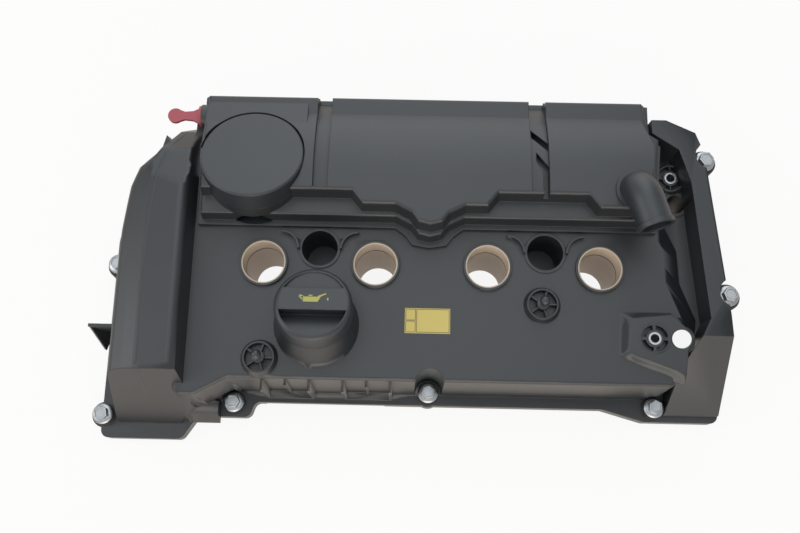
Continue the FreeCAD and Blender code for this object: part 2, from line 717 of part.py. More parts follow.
bolt_numbers = range(1, len(BOLTS) + 1)
well_numbers = range(1, 5)


def well_x(number):
    return "well_pitch * %d" % (number - 1)


# Cover body: the outer forms of the moulding


def bolt_spot(number):
    return ("bolt_x_no%d" % number, "bolt_y_no%d" % number)


def stands_on_column(number):
    return BOLTS[number - 1][2] == "column_top"


def flange_form():
    """The joint flange with a lobe and a seat for each bolt."""
    body = block("flange_plate", flange_outline(), "0", "flange_thick")
    round_body(body, "flange_corners", "corner_round", is_upright)
    forms = [body]
    for number in bolt_numbers:
        tall = "column_top" if stands_on_column(number) else "flange_thick"
        spot = bolt_spot(number)
        forms.append(cone("lobe_%d" % number, "lobe_radius + 0.5", "lobe_radius", tall, *spot))
        if not stands_on_column(number):
            forms.append(cylinder("seat_%d" % number, "grommet_radius + 1", "bolt_seat", *spot))
    return forms


def deck_form(name, inset, depth, rounded):
    """The tub under the deck, or the hollow inside it."""
    top = "deck_top - (%s)" % depth
    body = block(name, deck_outline(inset), top, "deck_top", "draft", down=True)
    round_body(body, name + "_corners", "corner_round", is_upright)
    if rounded:
        height = value("deck_top")
        round_body(body, name + "_edge", "edge_round", lambda edge: lies_at(edge, height))
    return body


def hump_form(name, inset, rounded):
    """The timing hump, where its section meets its side view and its plan."""
    long = "deck_rear - hump_front + 10"
    wide = "hump_right - hump_left + 10"
    across = block(name + "_across", hump_section(inset), "0 - deck_rear - 5", long, role="XZ_Plane")
    along = block(name + "_along", hump_side(inset), "hump_left - 5", wide, role="YZ_Plane")
    plan = block(name + "_plan", hump_plan(inset), "0 - (%s)" % inset, "hump_top + wall")
    if rounded:
        low = value("deck_top")
        high_edge = lambda edge: min(vertex.Z for vertex in edge.Vertexes) > low
        round_body(across, name + "_edges", "hump_round", lambda edge: runs_along(edge, "y") and high_edge(edge))
        round_body(along, name + "_arch", "hump_round * 1.5", lambda edge: runs_along(edge, "x") and high_edge(edge))
        round_body(plan, name + "_corners", "hump_round", is_upright)
    return common(name, [across, along, plan])


def ridge_form(name, inset):
    """The right ridge, where its plan meets its side view."""
    wide = "ridge_right - deck_right + 60"
    top = "ridge_top - (%s)" % inset
    plan = block(name + "_plan", ridge_outline(inset), top, "ridge_top + 2", "ridge_draft", down=True)
    side = block(name + "_side", ridge_side(inset), "deck_right - 20", wide, role="YZ_Plane")
    return common(name, [plan, side])


def channel_form(name, inset):
    return block(name, channel_outline(inset), "channel_floor - (%s)" % inset, "channel_floor", down=True)


def shoulder_form():
    """The slope from the deck down to the floor of the channel."""
    corners = [
        ("deck_right - 90", "deck_front + 30"),
        ("channel_left + 10", "deck_tip_y - 4"),
        ("channel_left + 12", "deck_tip_y + 12"),
        ("channel_left + 1", "deck_tip_y + 40"),
        ("channel_left", "deck_tip_y + 66"),
        ("deck_right + 6", "deck_tip_y + 88"),
        ("deck_right + 4", "deck_rear - 2"),
        ("deck_right - 90", "deck_rear - 2"),
    ]
    return block("channel_shoulder", corners, "channel_floor", "deck_top - channel_floor", "0 - channel_slope")


def pad_form():
    """The raised pad of the first insert, lofted from the deck to its top."""
    foot = [
        ("pad_left", "deck_tip_y + 15"),
        ("pad_left - 2", "deck_tip_y - 20"),
        ("deck_tip - 6", "deck_front + 1"),
        ("deck_tip - 3", "deck_tip_y - 16"),
        ("deck_tip + 2", "deck_tip_y - 5"),
        ("deck_right + 4", "deck_tip_y + 15"),
    ]
    top = [
        ("pad_left + pad_slope_run", "deck_tip_y + 15 - pad_slope_run"),
        ("pad_left - 2 + pad_slope_run", "deck_tip_y - 17"),
        ("deck_tip - 6", "deck_front + 1 + pad_slope_run"),
        ("deck_tip - 4", "deck_tip_y - 15"),
        ("deck_tip + 1", "deck_tip_y - 4"),
        ("deck_right + 3", "deck_tip_y + 15 - 4"),
    ]
    body = new_body("raised_pad")
    low = add_polygon(new_sketch(body, "pad_foot", offset="deck_top - 1"), foot)
    high = add_polygon(new_sketch(body, "pad_crest", offset="pad_top"), top)
    loft = body.newObject("PartDesign::AdditiveLoft", "pad_loft")
    loft.Profile = low
    loft.Sections = [high]
    loft.Ruled = True
    return body


def bolt_clearances(name, extra):
    """Round each bolt, the room for its head. The extra gives the wall behind that room."""
    rooms = []
    for number in bolt_numbers:
        high = stands_on_column(number)
        seat = BOLTS[number - 1][2]
        reach = "bolt_flange + %s + (%s)" % ("2.5" if high else "1", extra)
        tall = "ridge_top" if high else "head_room + 2 * (%s)" % extra
        rooms.append(cylinder("%s_%d" % (name, number), reach, tall, *bolt_spot(number), "%s - (%s)" % (seat, extra)))
    low = "notch_radius - 0.6 + (%s)" % extra
    high = "notch_radius + 0.6 + (%s)" % extra
    rooms.append(cone(name + "_front", low, high, "deck_top + 5", *bolt_spot(3), "bolt_seat"))
    return rooms


def cover_shell():
    """The outer forms less the hollow under them."""
    outer = flange_form()
    outer += [
        deck_form("deck_block", "0", "0", True),
        hump_form("hump_block", "0", True),
        ridge_form("ridge_block", "0"),
        channel_form("channel_block", "0"),
        shoulder_form(),
        pad_form(),
    ]
    forms = cut("outer_forms", fuse("outer_blocks", outer), fuse("head_rooms", bolt_clearances("head_room", "0")))
    hollow = fuse("hollow_blocks", [
        deck_form("deck_hollow", "wall", "wall", False),
        hump_form("hump_hollow", "wall", False),
        ridge_form("ridge_hollow", "ridge_wall"),
        channel_form("channel_hollow", "wall"),
    ])
    kept = [cylinder("kept_%d" % n, "notch_radius + wall + 2", "flange_thick", *bolt_spot(n)) for n in bolt_numbers]
    kept += [cylinder("column_%d" % n, "lobe_radius", "column_top", *bolt_spot(n)) for n in bolt_numbers if stands_on_column(n)]
    kept += bolt_clearances("kept_room", "wall")
    return cut("shell", forms, cut("hollow_forms", hollow, fuse("kept_forms", kept)))


def well_outer():
    return "tube_bore + tube_wall"


def cover_additions():
    """Wells, collars, bosses, ribs and posts that the moulding carries."""
    items = []
    for number in well_numbers:
        x = well_x(number)
        items.append(cylinder("well_%d" % number, well_outer() + " + well_wall", "deck_top - 1", x))
        items.append(cylinder("rim_%d" % number, well_outer() + " + rim_wall", "rim_top - deck_top + 3", x, "0", "deck_top - 3"))
    for name, x in (("blind_one", "blind_one"), ("blind_two", "blind_two")):
        tall = "blind_depth + wall + blind_lift"
        items.append(cylinder(name + "_cup", "blind_radius + blind_collar", tall, x, "blind_y", "deck_top - blind_depth - wall"))
        items += hook_ribs(name, x)
    items += neck_forms()
    items += spoked_boss("stud_one", "stud_one_x", "stud_one_y", "stud_top", "stud_ring", 5, "stud_hub")
    items += spoked_boss("stud_two", "stud_two_x", "stud_two_y", "stud_top", "stud_ring", 5, "stud_hub")
    hub = "insert_radius + 1.5"
    items += spoked_boss("insert_one", "insert_one_x", "insert_one_y", "pad_top + 0.6", "insert_ring", 4, hub)
    items += spoked_boss("insert_two", "insert_two_x", "insert_two_y", "insert_two_top", "insert_ring", 4, hub)
    items.append(cylinder("pass_one", "pass_radius + wall", "pad_top - 1", "pass_one_x", "insert_one_y"))
    items.append(cylinder("pass_two", "pass_radius + wall", "channel_floor + 1", "pass_two_x", "pass_two_y"))
    items += clip_bay("clip_one", "clip_one_x") + clip_bay("clip_two", "clip_two_x")
    items += [side_fin(), front_ledge(), rear_shelf()]
    items += baffle_posts()
    return items


def hook_ribs(name, x):
    """Two curved ribs that flank a blind well."""
    ribs = []
    for side, start in (("left", "0"), ("right", "90")):
        sign = "-" if side == "left" else "+"
        spot = ("%s %s (hook_reach + 12)" % (x, sign), "blind_y - 1", "deck_top - 1")
        outer = cylinder("%s_hook_%s" % (name, side), "hook_reach - 3", "hook_tall + 1", *spot)
        outer.Angle = 90
        place(outer, *spot, axis="0; 0; 1", angle=start)
        inner = cylinder("%s_hook_%s_core" % (name, side), "hook_reach - 3 - hook_wall", "hook_tall + 3", *spot)
        ribs.append(cut("%s_hook_%s_rib" % (name, side), outer, inner))
    return ribs


def neck_forms():
    """The filler neck, a cone that leans to the rear."""
    body = new_body("neck_cone")
    slope = "(neck_base - neck_radius) / neck_tall"
    corners = [
        ("0", "0 - 8"),
        ("neck_base + 8 * %s" % slope, "0 - 8"),
        ("neck_radius", "neck_tall"),
        ("0", "neck_tall"),
    ]
    revolve(body, add_polygon(new_sketch(body, "neck_section", "XZ_Plane"), corners))
    on_neck(body)
    return [body]


def on_neck(item, along="0"):
    """Places a piece on the leaning axis of the filler neck."""
    rise = "(%s)" % along
    place(item, "neck_x", "neck_y + %s * sin(neck_tilt)" % rise, "deck_top + %s * cos(neck_tilt)" % rise, angle="0 - neck_tilt")
    return item


def spoked_boss(name, x, y, top, ring, spokes, hub):
    """A cup with a hub held by spokes."""
    body = new_body(name + "_boss")
    deep = "14"
    corners = [
        ("0", "0 - %s - 3" % deep),
        (ring, "0 - %s - 3" % deep),
        (ring + " + 2.4", "0 - 7"),
        (ring, "0"),
        (ring + " - stud_ring_wall", "0"),
        (ring + " - stud_ring_wall", "0 - %s" % deep),
        (hub, "0 - %s" % deep),
        (hub, "0 - 0.4"),
        ("0", "0 - 0.4"),
    ]
    revolve(body, add_polygon(new_sketch(body, name + "_section", "XZ_Plane"), corners))
    flat = new_sketch(body, name + "_spoke", "XY_Plane", "0 - 1")
    add_rectangle(flat, hub + " - 1", ring + " - 0.5", "0 - spoke_wall / 2", "spoke_wall / 2")
    spoke = pad(body, flat, deep, down=True)
    repeat_round(body, spoke, spokes)
    place(body, x, y, top)
    return [body]


def clip_bay(name, x):
    """A bay of the front wall that held a cable duct: two ears, a rib and a tray."""
    back = "deck_front - clip_out"
    parts = []
    for tag, at in (("left", x), ("middle", "%s + clip_long / 2 - 1" % x), ("right", "%s + clip_long - 2" % x)):
        deep = "clip_out + 2" if tag != "middle" else "clip_out - 2"
        start = back if tag != "middle" else "deck_front - clip_out + 4"
        parts.append(box("%s_%s" % (name, tag), at, start, "flange_thick - 1", "2", deep, "clip_top - flange_thick + 1"))
    parts.append(box(name + "_tray", x, back, "flange_thick - 1", "clip_long", "clip_out + 1", "8"))
    return parts


def side_fin():
    """The triangular fin beside the hump."""
    corners = [
        ("hump_left - fin_reach", "flange_thick + fin_tall"),
        ("hump_left - flange_width + 1", "flange_thick - 2"),
        ("hump_left + 3", "flange_thick - 2"),
        ("hump_left + 6", "flange_thick + fin_tall"),
    ]
    return block("side_fin", corners, "0 - fin_y", "2.5", role="XZ_Plane")


def front_ledge():
    """The sloping ledge between the hump and the second bolt."""
    corners = [
        ("hump_front + 2", "flange_thick - 1"),
        ("hump_front + 8", "flange_thick + ledge_tall * 0.7"),
        ("deck_front - deck_bow + 1", "flange_thick + ledge_tall * 0.7"),
        ("deck_front - deck_bow + 1", "flange_thick - 1"),
    ]
    return block("front_ledge", corners, "ledge_x", "ledge_long", role="YZ_Plane")


def rear_shelf():
    """The shelf behind the deck that carries the rear of the separator."""
    corners = [
        ("deck_rear - 4", "deck_top - 18"),
        ("deck_rear - 4", "deck_top"),
        ("sep_rear + weld_lip", "deck_top"),
        ("sep_rear + weld_lip", "deck_top - 3"),
    ]
    start = "sep_left - weld_lip"
    return block("rear_shelf", corners, start, "sep_right + 2 - (%s)" % start, role="YZ_Plane")


def post_spots():
    columns = ["baffle_left + 10", "(baffle_left + baffle_right) / 2", "baffle_right - 10"]
    return [(x, y) for x in columns for y in ("baffle_front + 8", "baffle_rear - 8")]


def baffle_posts():
    low = "deck_top - wall - baffle_drop"
    return [cylinder("post_%d" % n, "post_radius", "baffle_drop + 1", x, y, low) for n, (x, y) in enumerate(post_spots(), 1)]


def cover_cuts():
    """Bores, grooves and holes of the moulding."""
    items = []
    for number in well_numbers:
        items.append(cylinder("bore_%d" % number, well_outer(), "rim_top + 4", well_x(number), "0", "0 - 2"))
        ring_out = cylinder("well_groove_%d" % number, well_outer() + " + well_wall - 0.8", "gasket_tall + 2", well_x(number), "0", "0 - 2")
        ring_in = cylinder("well_core_%d" % number, well_outer() + " + 0.8", "gasket_tall + 4", well_x(number), "0", "0 - 3")
        items.append(cut("well_gasket_groove_%d" % number, ring_out, ring_in))
    for x in ("blind_one", "blind_two"):
        items.append(cylinder(x + "_bore", "blind_radius", "blind_depth + 10", x, "blind_y", "deck_top - blind_depth"))
    items.append(neck_opening())
    for number in bolt_numbers:
        items.append(cylinder("bolt_hole_%d" % number, "bolt_hole", "ridge_top + 10", *bolt_spot(number), "0 - 2"))
    for name in ("one", "two"):
        top = "pad_top + 0.6" if name == "one" else "insert_two_top"
        spot = ("insert_%s_x" % name, "insert_%s_y" % name)
        items.append(cylinder("insert_%s_hole" % name, "insert_radius", "insert_long + 5", *spot, top + " - insert_long"))
        spot = ("stud_%s_x" % name, "stud_%s_y" % name)
        items.append(cylinder("stud_%s_hole" % name, "stud_hole", "20", *spot, "stud_top - 10"))
    items.append(cylinder("pass_one_hole", "pass_radius", "pad_top + 10", "pass_one_x", "insert_one_y", "0 - 2"))
    items.append(cylinder("pass_two_hole", "pass_radius", "pad_top", "pass_two_x", "pass_two_y", "0 - 2"))
    items.append(box("lip_gap", "lip_start", "deck_front - flange_width - 5", "0 - 1", "lip_end - lip_start", "lip_depth + 5", "flange_step + 1"))
    items.append(gasket_ring("gasket_groove", "0", "0 - 1", "gasket_tall + 1"))
    items += separator_ports()
    for number, (x, y) in enumerate(post_spots(), 1):
        items.append(cylinder("pilot_%d" % number, "screw_radius", "baffle_drop", x, y, "deck_top - wall - baffle_drop - 1"))
    return items


def neck_opening():
    """The bore of the neck, less the two bayonet catches that stay in it."""
    body = new_body("neck_bore_tool")
    pad(body, add_circle(new_sketch(body, "neck_bore_outline", offset="0 - 30"), "0", "0", "neck_bore"), "60 + neck_tall")
    on_neck(body)
    ring = new_body("catch_ring")
    pad(ring, add_circle(new_sketch(ring, "catch_outline", offset="catch_low"), "0", "0", "neck_bore + 1"), "catch_thick")
    doc.recompute()
    pocket(ring, add_circle(new_sketch(ring, "catch_bore", offset="catch_low"), "0", "0", "neck_bore - lug_long + 0.4"), "catch_thick + 1", up=True)
    gap = add_rectangle(new_sketch(ring, "catch_gap", offset="catch_low"), "0 - lug_half - 2", "lug_half + 2", "0 - neck_bore - 2", "neck_bore + 2")
    pocket(ring, gap, "catch_thick + 1", up=True)
    on_neck(ring)
    return cut("neck_opening", body, ring)


def gasket_ring(name, gap, base, tall):
    """A ring that follows the walls at the joint face."""
    outer = block(name + "_outer", wall_outline("gasket_inset - (%s)" % gap), base, tall)
    inner = block(name + "_inner", wall_outline("gasket_inset - gasket_width + (%s)" % gap), base + " - 1", tall + " + 2")
    return cut(name, outer, inner)


def valve_spots():
    return [("baffle_left + 60", "baffle_rear - 22"), ("baffle_right - 60", "baffle_rear - 22")]


def separator_ports():
    """Openings through the deck into the separator."""
    items = []
    for number, (x, y) in enumerate(valve_spots(), 1):
        items.append(cylinder("drain_stem_%d" % number, "1.6", "wall + 4", x, y, "deck_top - wall - 2"))
        for side in (-1, 1):
            spot = ("%s + %d * 5" % (x, side), y, "deck_top - wall - 2")
            items.append(cylinder("drain_%d_%d" % (number, side + 1), "2.2", "wall + 4", *spot))
    items.append(box("gas_slot", "(baffle_left + baffle_right) / 2 - 20", "baffle_front + 22", "deck_top - wall - 2", "40", "10", "wall + 4"))
    return items


def cover_body():
    whole = fuse("cover_with_additions", [cover_shell()] + cover_additions())
    return cut("cover_body", whole, fuse("cover_cut_tools", cover_cuts()))


# Separator cover


def on_pcv(item, across="0", back="0", rise="0"):
    """Places a piece in the leaning frame of the pressure control valve."""
    back_y = "(%s) * cos(pcv_tilt) + (%s) * sin(pcv_tilt)" % (back, rise)
    back_z = "0 - (%s) * sin(pcv_tilt) + (%s) * cos(pcv_tilt)" % (back, rise)
    place(item, "pcv_x + (%s)" % across, "pcv_y + " + back_y, "pcv_z + " + back_z, angle="0 - pcv_tilt")
    return item


def roof_form(name, inset):
    """The curved top of the separator cover: flat in front, an arc to the rear."""
    long = "sep_right - sep_left + 80"
    start = "sep_left - 30"
    low = box(name + "_flat", start, "0 - 20", "deck_top - 5", long, "sep_crown + 20", "sep_top - deck_top + 5 - (%s)" % inset)
    arc = cylinder(name + "_arc", "sep_bend - (%s)" % inset, long)
    place(arc, start, "sep_crown", "sep_top - sep_bend", axis="0; 1; 0", angle="90")
    return fuse(name, [low, arc])


def block_form(name, inset, top):
    """The block round the diaphragm cap, in its own leaning frame."""
    body = new_body(name)
    side = "pcv_radius - (%s)" % inset
    pad(body, add_circle(new_sketch(body, name + "_disc", offset=top), "0", "0", side), "pcv_block", down=True)
    doc.recompute()
    flat = new_sketch(body, name + "_square", offset=top)
    add_rectangle(flat, "0 - (%s)" % side, side, "0", "pcv_block - (%s)" % inset)
    pad(body, flat, "pcv_block", down=True)
    return on_pcv(body)


def separator_mass(name, inset):
    """The outer form of the separator cover, or the hollow inside it."""
    foot = "sep_base" if inset == "0" else "deck_top - 1"
    low = block(name + "_low", separator_low(inset), foot, "sep_shelf - (%s) - (%s)" % (inset, foot), "0 - sep_draft / 2")
    high = block(name + "_high", separator_high(inset), "sep_top", "sep_top - deck_top - 2", "sep_draft", down=True)
    if inset == "0":
        shelf = value("sep_shelf")
        crown = value("sep_top")
        round_body(low, name + "_shelf_edge", "shelf_round", lambda edge: lies_at(edge, shelf))
        round_body(high, name + "_crown_edge", "crown_round", lambda edge: lies_at(edge, crown))
    return [low, common(name + "_crown", [high, roof_form(name + "_roof", inset)])]


def channel_tools(name, grow, deep):
    """The two channels that run to the rear over the curved top."""
    tools = []
    for tag, start, width in (("one", "groove_one", "groove_one_width"), ("two", "groove_two", "groove_two_width")):
        left = "%s - (%s)" % (start, grow)
        front = "sep_front + sep_bay + 2 - (%s)" % grow
        wide = "%s + 2 * (%s)" % (width, grow)
        tools.append(box("%s_%s" % (name, tag), left, front, "sep_base - 10", wide, "sep_rear - sep_front", "60"))
    return cut(name, fuse(name + "_boxes", tools), roof_form(name + "_floor", deep))


def slot_tools():
    """The slanted slots in the floor of the right channel."""
    tools = []
    left = "groove_two"
    outlines = [
        [(left, "96"), (left, "103"), (left + " + groove_two_width", "90"), (left + " + groove_two_width", "83")],
        [
            (left + " + 4", "74"),
            (left + " + 4", "82"),
            (left + " + groove_two_width", "70"),
            (left + " + groove_two_width", "46"),
            (left + " + groove_two_width - 4", "46"),
            (left + " + groove_two_width - 4", "66"),
        ],
    ]
    for number, outline in enumerate(outlines, 1):
        tools.append(block("channel_slot_%d" % number, outline, "sep_top - groove_deep - slot_deep - 12", "40"))
    return cut("channel_slots", fuse("slot_blocks", tools), roof_form("slot_floor", "groove_deep + slot_deep"))


def separator_cover():
    """The cover of the oil separator with the block for the control valve."""
    lip = block("weld_flange", separator_low("0 - weld_lip"), "deck_top", "sep_base - deck_top")
    round_body(lip, "weld_flange_corners", "shelf_round", is_upright)
    square = block_form("valve_block", "0", "0")
    doc.recompute()
    round_body(square, "valve_block_corners", "block_round", lambda edge: is_upright(edge) and edge.Vertexes[0].Y > value("pcv_block") - 1)
    before_wall = box("before_front_wall", "sep_left - 60", "0 - 40", "0", "200", "40 + sep_front + 2", "sep_shelf - 1")
    square = cut("trimmed_block", square, before_wall)
    port = cylinder("port_boss", "port_radius", "port_long + 8")
    on_pcv(port)
    port_place(port, "0 - pcv_radius - port_long")
    outer = fuse("separator_blocks", [lip, square, port] + separator_mass("separator_mass", "0"))
    under = box("under_separator", "sep_left - 60", "0 - 40", "0 - 40", "500", "250", "deck_top + 40")
    floors = channel_tools("kept_channel", "sep_wall", "groove_deep + slot_deep + sep_wall")
    keep = fuse("kept_floors", [floors, block_form("kept_block", "0", "0")])
    hollow = cut("separator_space", fuse("separator_hollows", separator_mass("separator_hollow", "sep_wall")), keep)
    chamber_floor = "0 - pcv_chamber_floor - sep_wall"
    room = block_form("block_hollow", "sep_wall", chamber_floor)
    window = on_pcv(box("block_window", "0", "0", "0", "20", "26", "8"), "pcv_radius - 8", "0 - 10", chamber_floor + " - 9")
    shell = cut("separator_shell", outer, fuse("separator_under", [under, room, window, hollow]))
    cuts = [channel_tools("channel", "0", "groove_deep"), slot_tools()]
    ring_low = "0 - pcv_skirt - 0.2"
    socket = on_pcv(cylinder("cap_socket", "pcv_radius + part_gap", "60"), rise=ring_low)
    core = on_pcv(cylinder("chamber_wall", "pcv_radius - pcv_wall - part_gap", "pcv_skirt + 0.2 - pcv_chamber_top"), rise=ring_low)
    cuts.append(cut("cap_room", socket, core))
    cuts.append(on_pcv(cylinder("chamber", "pcv_chamber", "pcv_chamber_floor"), rise="0 - pcv_chamber_floor"))
    bore = cylinder("port_bore", "port_bore", "port_long + 30")
    cuts.append(port_place(bore, "0 - pcv_radius - port_long - 1"))
    spigot = cylinder("elbow_hole", "elbow_bore + elbow_seal_thick + 1.4", "30", "elbow_x", "elbow_y", "sep_top - 20")
    cuts.append(spigot)
    open_shell = cut("open_shell", shell, fuse("separator_cuts", cuts))
    seat_low = "0 - pcv_chamber_floor - sep_wall - 1"
    seat = on_pcv(cylinder("seat_tube", "seat_radius", "pcv_chamber_floor + sep_wall + 1 - seat_top_drop"), rise=seat_low)
    seat_bore = on_pcv(cylinder("seat_bore", "seat_bore", "pcv_chamber_floor"), rise="0 - pcv_chamber_floor - sep_wall - 2")
    return cut("separator_cover", fuse("shell_with_seat", [open_shell, seat]), seat_bore)


def port_place(item, along):
    """Lays a turned piece along the axis of the port, in the leaning frame."""
    back_y = "port_back * cos(pcv_tilt) - port_drop * sin(pcv_tilt)"
    back_z = "0 - port_back * sin(pcv_tilt) - port_drop * cos(pcv_tilt)"
    place(item, "pcv_x + (%s)" % along, "pcv_y + " + back_y, "pcv_z + " + back_z, axis="0; 1; 0", angle="90")
    return item


# Pressure control valve


def ring_section(body, name, corners, places):
    """A turned piece in the leaning frame."""
    revolve(body, add_polygon(new_sketch(body, name, "XZ_Plane"), corners))
    places(body)
    return body


def diaphragm_cap():
    inner = "pcv_radius - pcv_wall"
    corners = [
        ("0", "0 - 3"),
        ("0", "0"),
        ("pcv_radius - 1.2", "0"),
        ("pcv_radius", "0 - 1.2"),
        ("pcv_radius", "0 - pcv_skirt"),
        (inner, "0 - pcv_skirt"),
        (inner, "0 - 3"),
        ("membrane_rim", "0 - 3"),
        ("membrane_rim", "membrane_thick - pcv_chamber_top"),
        ("pcv_chamber + 1", "membrane_thick - pcv_chamber_top"),
        ("pcv_chamber + 1", "0 - 3"),
    ]
    return ring_section(new_body("diaphragm_cap"), "cap_section", corners, on_pcv)


def pcv_diaphragm():
    low = "0 - pcv_chamber_top"
    top = "membrane_thick - pcv_chamber_top"
    corners = [
        ("4", "0 - plate_drop"),
        ("plate_radius", "0 - plate_drop"),
        ("plate_radius + 4", "%s - membrane_fold" % low),
        ("pcv_chamber - 4", "%s - membrane_fold" % low),
        ("pcv_chamber - 1", low),
        ("membrane_rim", low),
        ("membrane_rim", top),
        ("pcv_chamber - 2", top),
        ("pcv_chamber - 5", "%s - membrane_fold" % top),
        ("plate_radius + 5", "%s - membrane_fold" % top),
        ("plate_radius + 1", "membrane_thick - plate_drop"),
        ("4", "membrane_thick - plate_drop"),
    ]
    return ring_section(new_body("pcv_diaphragm"), "diaphragm_section", corners, on_pcv)


def support_plate():
    low = "0 - plate_drop - plate_thick"
    corners = [
        ("0", low),
        ("spring_radius + 2", low),
        ("spring_radius + 2", "%s - 0.8" % low),
        ("spring_radius + 3", "%s - 0.8" % low),
        ("spring_radius + 3", low),
        ("plate_radius", low),
        ("plate_radius", "0 - plate_drop"),
        ("4", "0 - plate_drop"),
        ("4", "membrane_thick - plate_drop + 0.8"),
        ("0", "membrane_thick - plate_drop + 0.8"),
    ]
    return ring_section(new_body("pcv_support_plate"), "plate_section", corners, on_pcv)


def pcv_spring():
    tall = "pcv_chamber_floor - plate_drop - plate_thick - 2 * spring_wire"
    helix = doc.addObject("Part::Helix", "spring_line")
    helix.setExpression("Radius", bound("spring_radius"))
    helix.setExpression("Height", bound(tall))
    helix.setExpression("Pitch", bound("(%s) / spring_turns" % tall))
    wire = doc.addObject("Part::Circle", "spring_wire_outline")
    wire.setExpression("Radius", bound("spring_wire"))
    place(wire, "spring_radius", "0", "0", angle="90")
    coil = doc.addObject("Part::Sweep", "pcv_spring")
    coil.Sections = [wire]
    coil.Spine = (helix, [])
    coil.Solid = True
    coil.Frenet = True
    on_pcv(coil, rise="spring_wire - pcv_chamber_floor")
    coil.Label = "pcv_spring"
    return coil


# Oil filler cap


def oil_filler_cap():
    """The cap with its grip bar, stem and two bayonet lugs, on the leaning axis."""
    body = new_body("cap_blank")
    top = "neck_tall + part_gap + cap_tall"
    stem = "neck_bore - lug_long - part_gap"
    inner = "neck_radius + 0.75"
    under = "neck_tall + part_gap"
    low = "0 - 0.7"
    corners = [
        ("0", top),
        ("cap_radius", top),
        ("cap_radius", "neck_tall - cap_skirt"),
        (inner, "neck_tall - cap_skirt"),
        (inner, under),
        ("neck_radius - 0.5", under),
        ("neck_radius - 0.5", under + " + cap_seal"),
        ("neck_bore + 1", under + " + cap_seal"),
        ("neck_bore + 1", under),
        (stem, under),
        (stem, low),
        (stem + " - stem_wall", low),
        (stem + " - stem_wall", under),
        ("0", under),
    ]
    revolve(body, add_polygon(new_sketch(body, "cap_outline", "XZ_Plane"), corners))
    crown = value(top)
    round_body(body, "cap_edge", "cap_round", lambda edge: lies_at(edge, crown))
    flat = new_sketch(body, "lug_outline", offset=low)
    tip = "neck_bore - part_gap - 0.2"
    side = "sqrt((neck_bore - part_gap) ^ 2 - lug_half ^ 2)"
    add_polygon(flat, [
        (stem + " - 1", "0 - lug_half"),
        (side, "0 - lug_half"),
        (tip, "0 - lug_half * 0.3"),
        (tip, "lug_half * 0.3"),
        (side, "lug_half"),
        (stem + " - 1", "lug_half"),
    ])
    lug = pad(body, flat, "catch_low - part_gap + 0.7")
    repeat_round(body, lug, 2)
    on_neck(body)
    recesses = []
    for name, near, far, deep in (
        ("front", "grip_front", "grip_rim - cap_radius", "grip_deep"),
        ("rear", "grip_rear", "cap_radius - grip_rim", "grip_step"),
    ):
        slope = [(near, top + " + 1"), (near, top + " - " + deep), (far, top + " - 1"), (far, top + " + 1")]
        wedge = block(name + "_wedge", slope, "0 - cap_radius", "2 * cap_radius", role="YZ_Plane")
        on_neck(wedge)
        disc = on_neck(cylinder(name + "_disc", "cap_radius - grip_rim", "cap_tall + 4"), "neck_tall + 4")
        recesses.append(common(name + "_recess", [wedge, disc]))
    return cut("oil_filler_cap", body, fuse("finger_recesses", recesses))


def oil_cap_seal():
    low = "neck_tall + part_gap"
    corners = [
        ("neck_bore + 1", low),
        ("neck_radius - 0.5", low),
        ("neck_radius - 0.5", low + " + cap_seal"),
        ("neck_bore + 1", low + " + cap_seal"),
    ]
    return ring_section(new_body("oil_cap_seal"), "cap_seal_section", corners, on_neck)


# Vent elbow


def on_elbow(item):
    place(item, "elbow_x", "elbow_y", "sep_top", axis="0; 0; 1", angle="elbow_turn")
    return item


def vent_elbow():
    """A swept tube that leaves the separator cover upward and turns to the front."""
    body = new_body("vent_elbow")
    rise = "elbow_height - sep_top"
    path = new_sketch(body, "elbow_path", "YZ_Plane")
    spots = [("0", "0"), ("0", rise + " - elbow_bend"), ("0 - elbow_bend", rise), ("0 - elbow_reach", rise)]
    points = [Vector(value(across), value(up), 0) for across, up in spots]
    centre = Vector(points[2].x, points[1].y, 0)
    half = value("elbow_bend") * math.sqrt(0.5)
    middle = centre + Vector(half, half, 0)
    path.addGeometry(Part.Arc(points[1], middle, points[2]))
    path.addGeometry(Part.LineSegment(points[2], points[3]))
    pin_point(path, 1, 1, *spots[2])
    pin_point(path, 1, 2, *spots[3])
    path.addConstraint(Sketcher.Constraint("Coincident", 0, 2, 1, 1))
    pin_point(path, 0, 1, *spots[1])
    index = path.addConstraint(Sketcher.Constraint("DistanceX", -1, 1, 0, 3, value(spots[2][0])))
    path.setExpression("Constraints[%d]" % index, bound(spots[2][0]))
    ring = new_sketch(body, "elbow_ring", offset=rise + " - elbow_bend")
    add_circle(ring, "0", "0", "elbow_radius")
    add_circle(ring, "0", "0", "elbow_bore")
    doc.recompute()
    tube = body.newObject("PartDesign::AdditivePipe", "elbow_tube")
    tube.Profile = ring
    tube.Spine = (path, ["Edge1", "Edge2"])
    doc.recompute()
    foot = new_sketch(body, "elbow_foot", offset="0")
    add_circle(foot, "0", "0", "elbow_radius + 2.4")
    add_circle(foot, "0", "0", "elbow_bore")
    pad(body, foot, "2")
    doc.recompute()
    spigot = new_sketch(body, "elbow_spigot", offset="0 - 7")
    add_circle(spigot, "0", "0", "elbow_bore + 1.4")
    add_circle(spigot, "0", "0", "elbow_bore - 0.4")
    pad(body, spigot, "7.2")
    doc.recompute()
    mouth = new_sketch(body, "elbow_mouth", "XZ_Plane", "elbow_reach - 3")
    add_circle(mouth, "0", rise, "elbow_radius + 1")
    add_circle(mouth, "0", rise, "elbow_bore")
    pad(body, mouth, "3.5")
    return on_elbow(body)


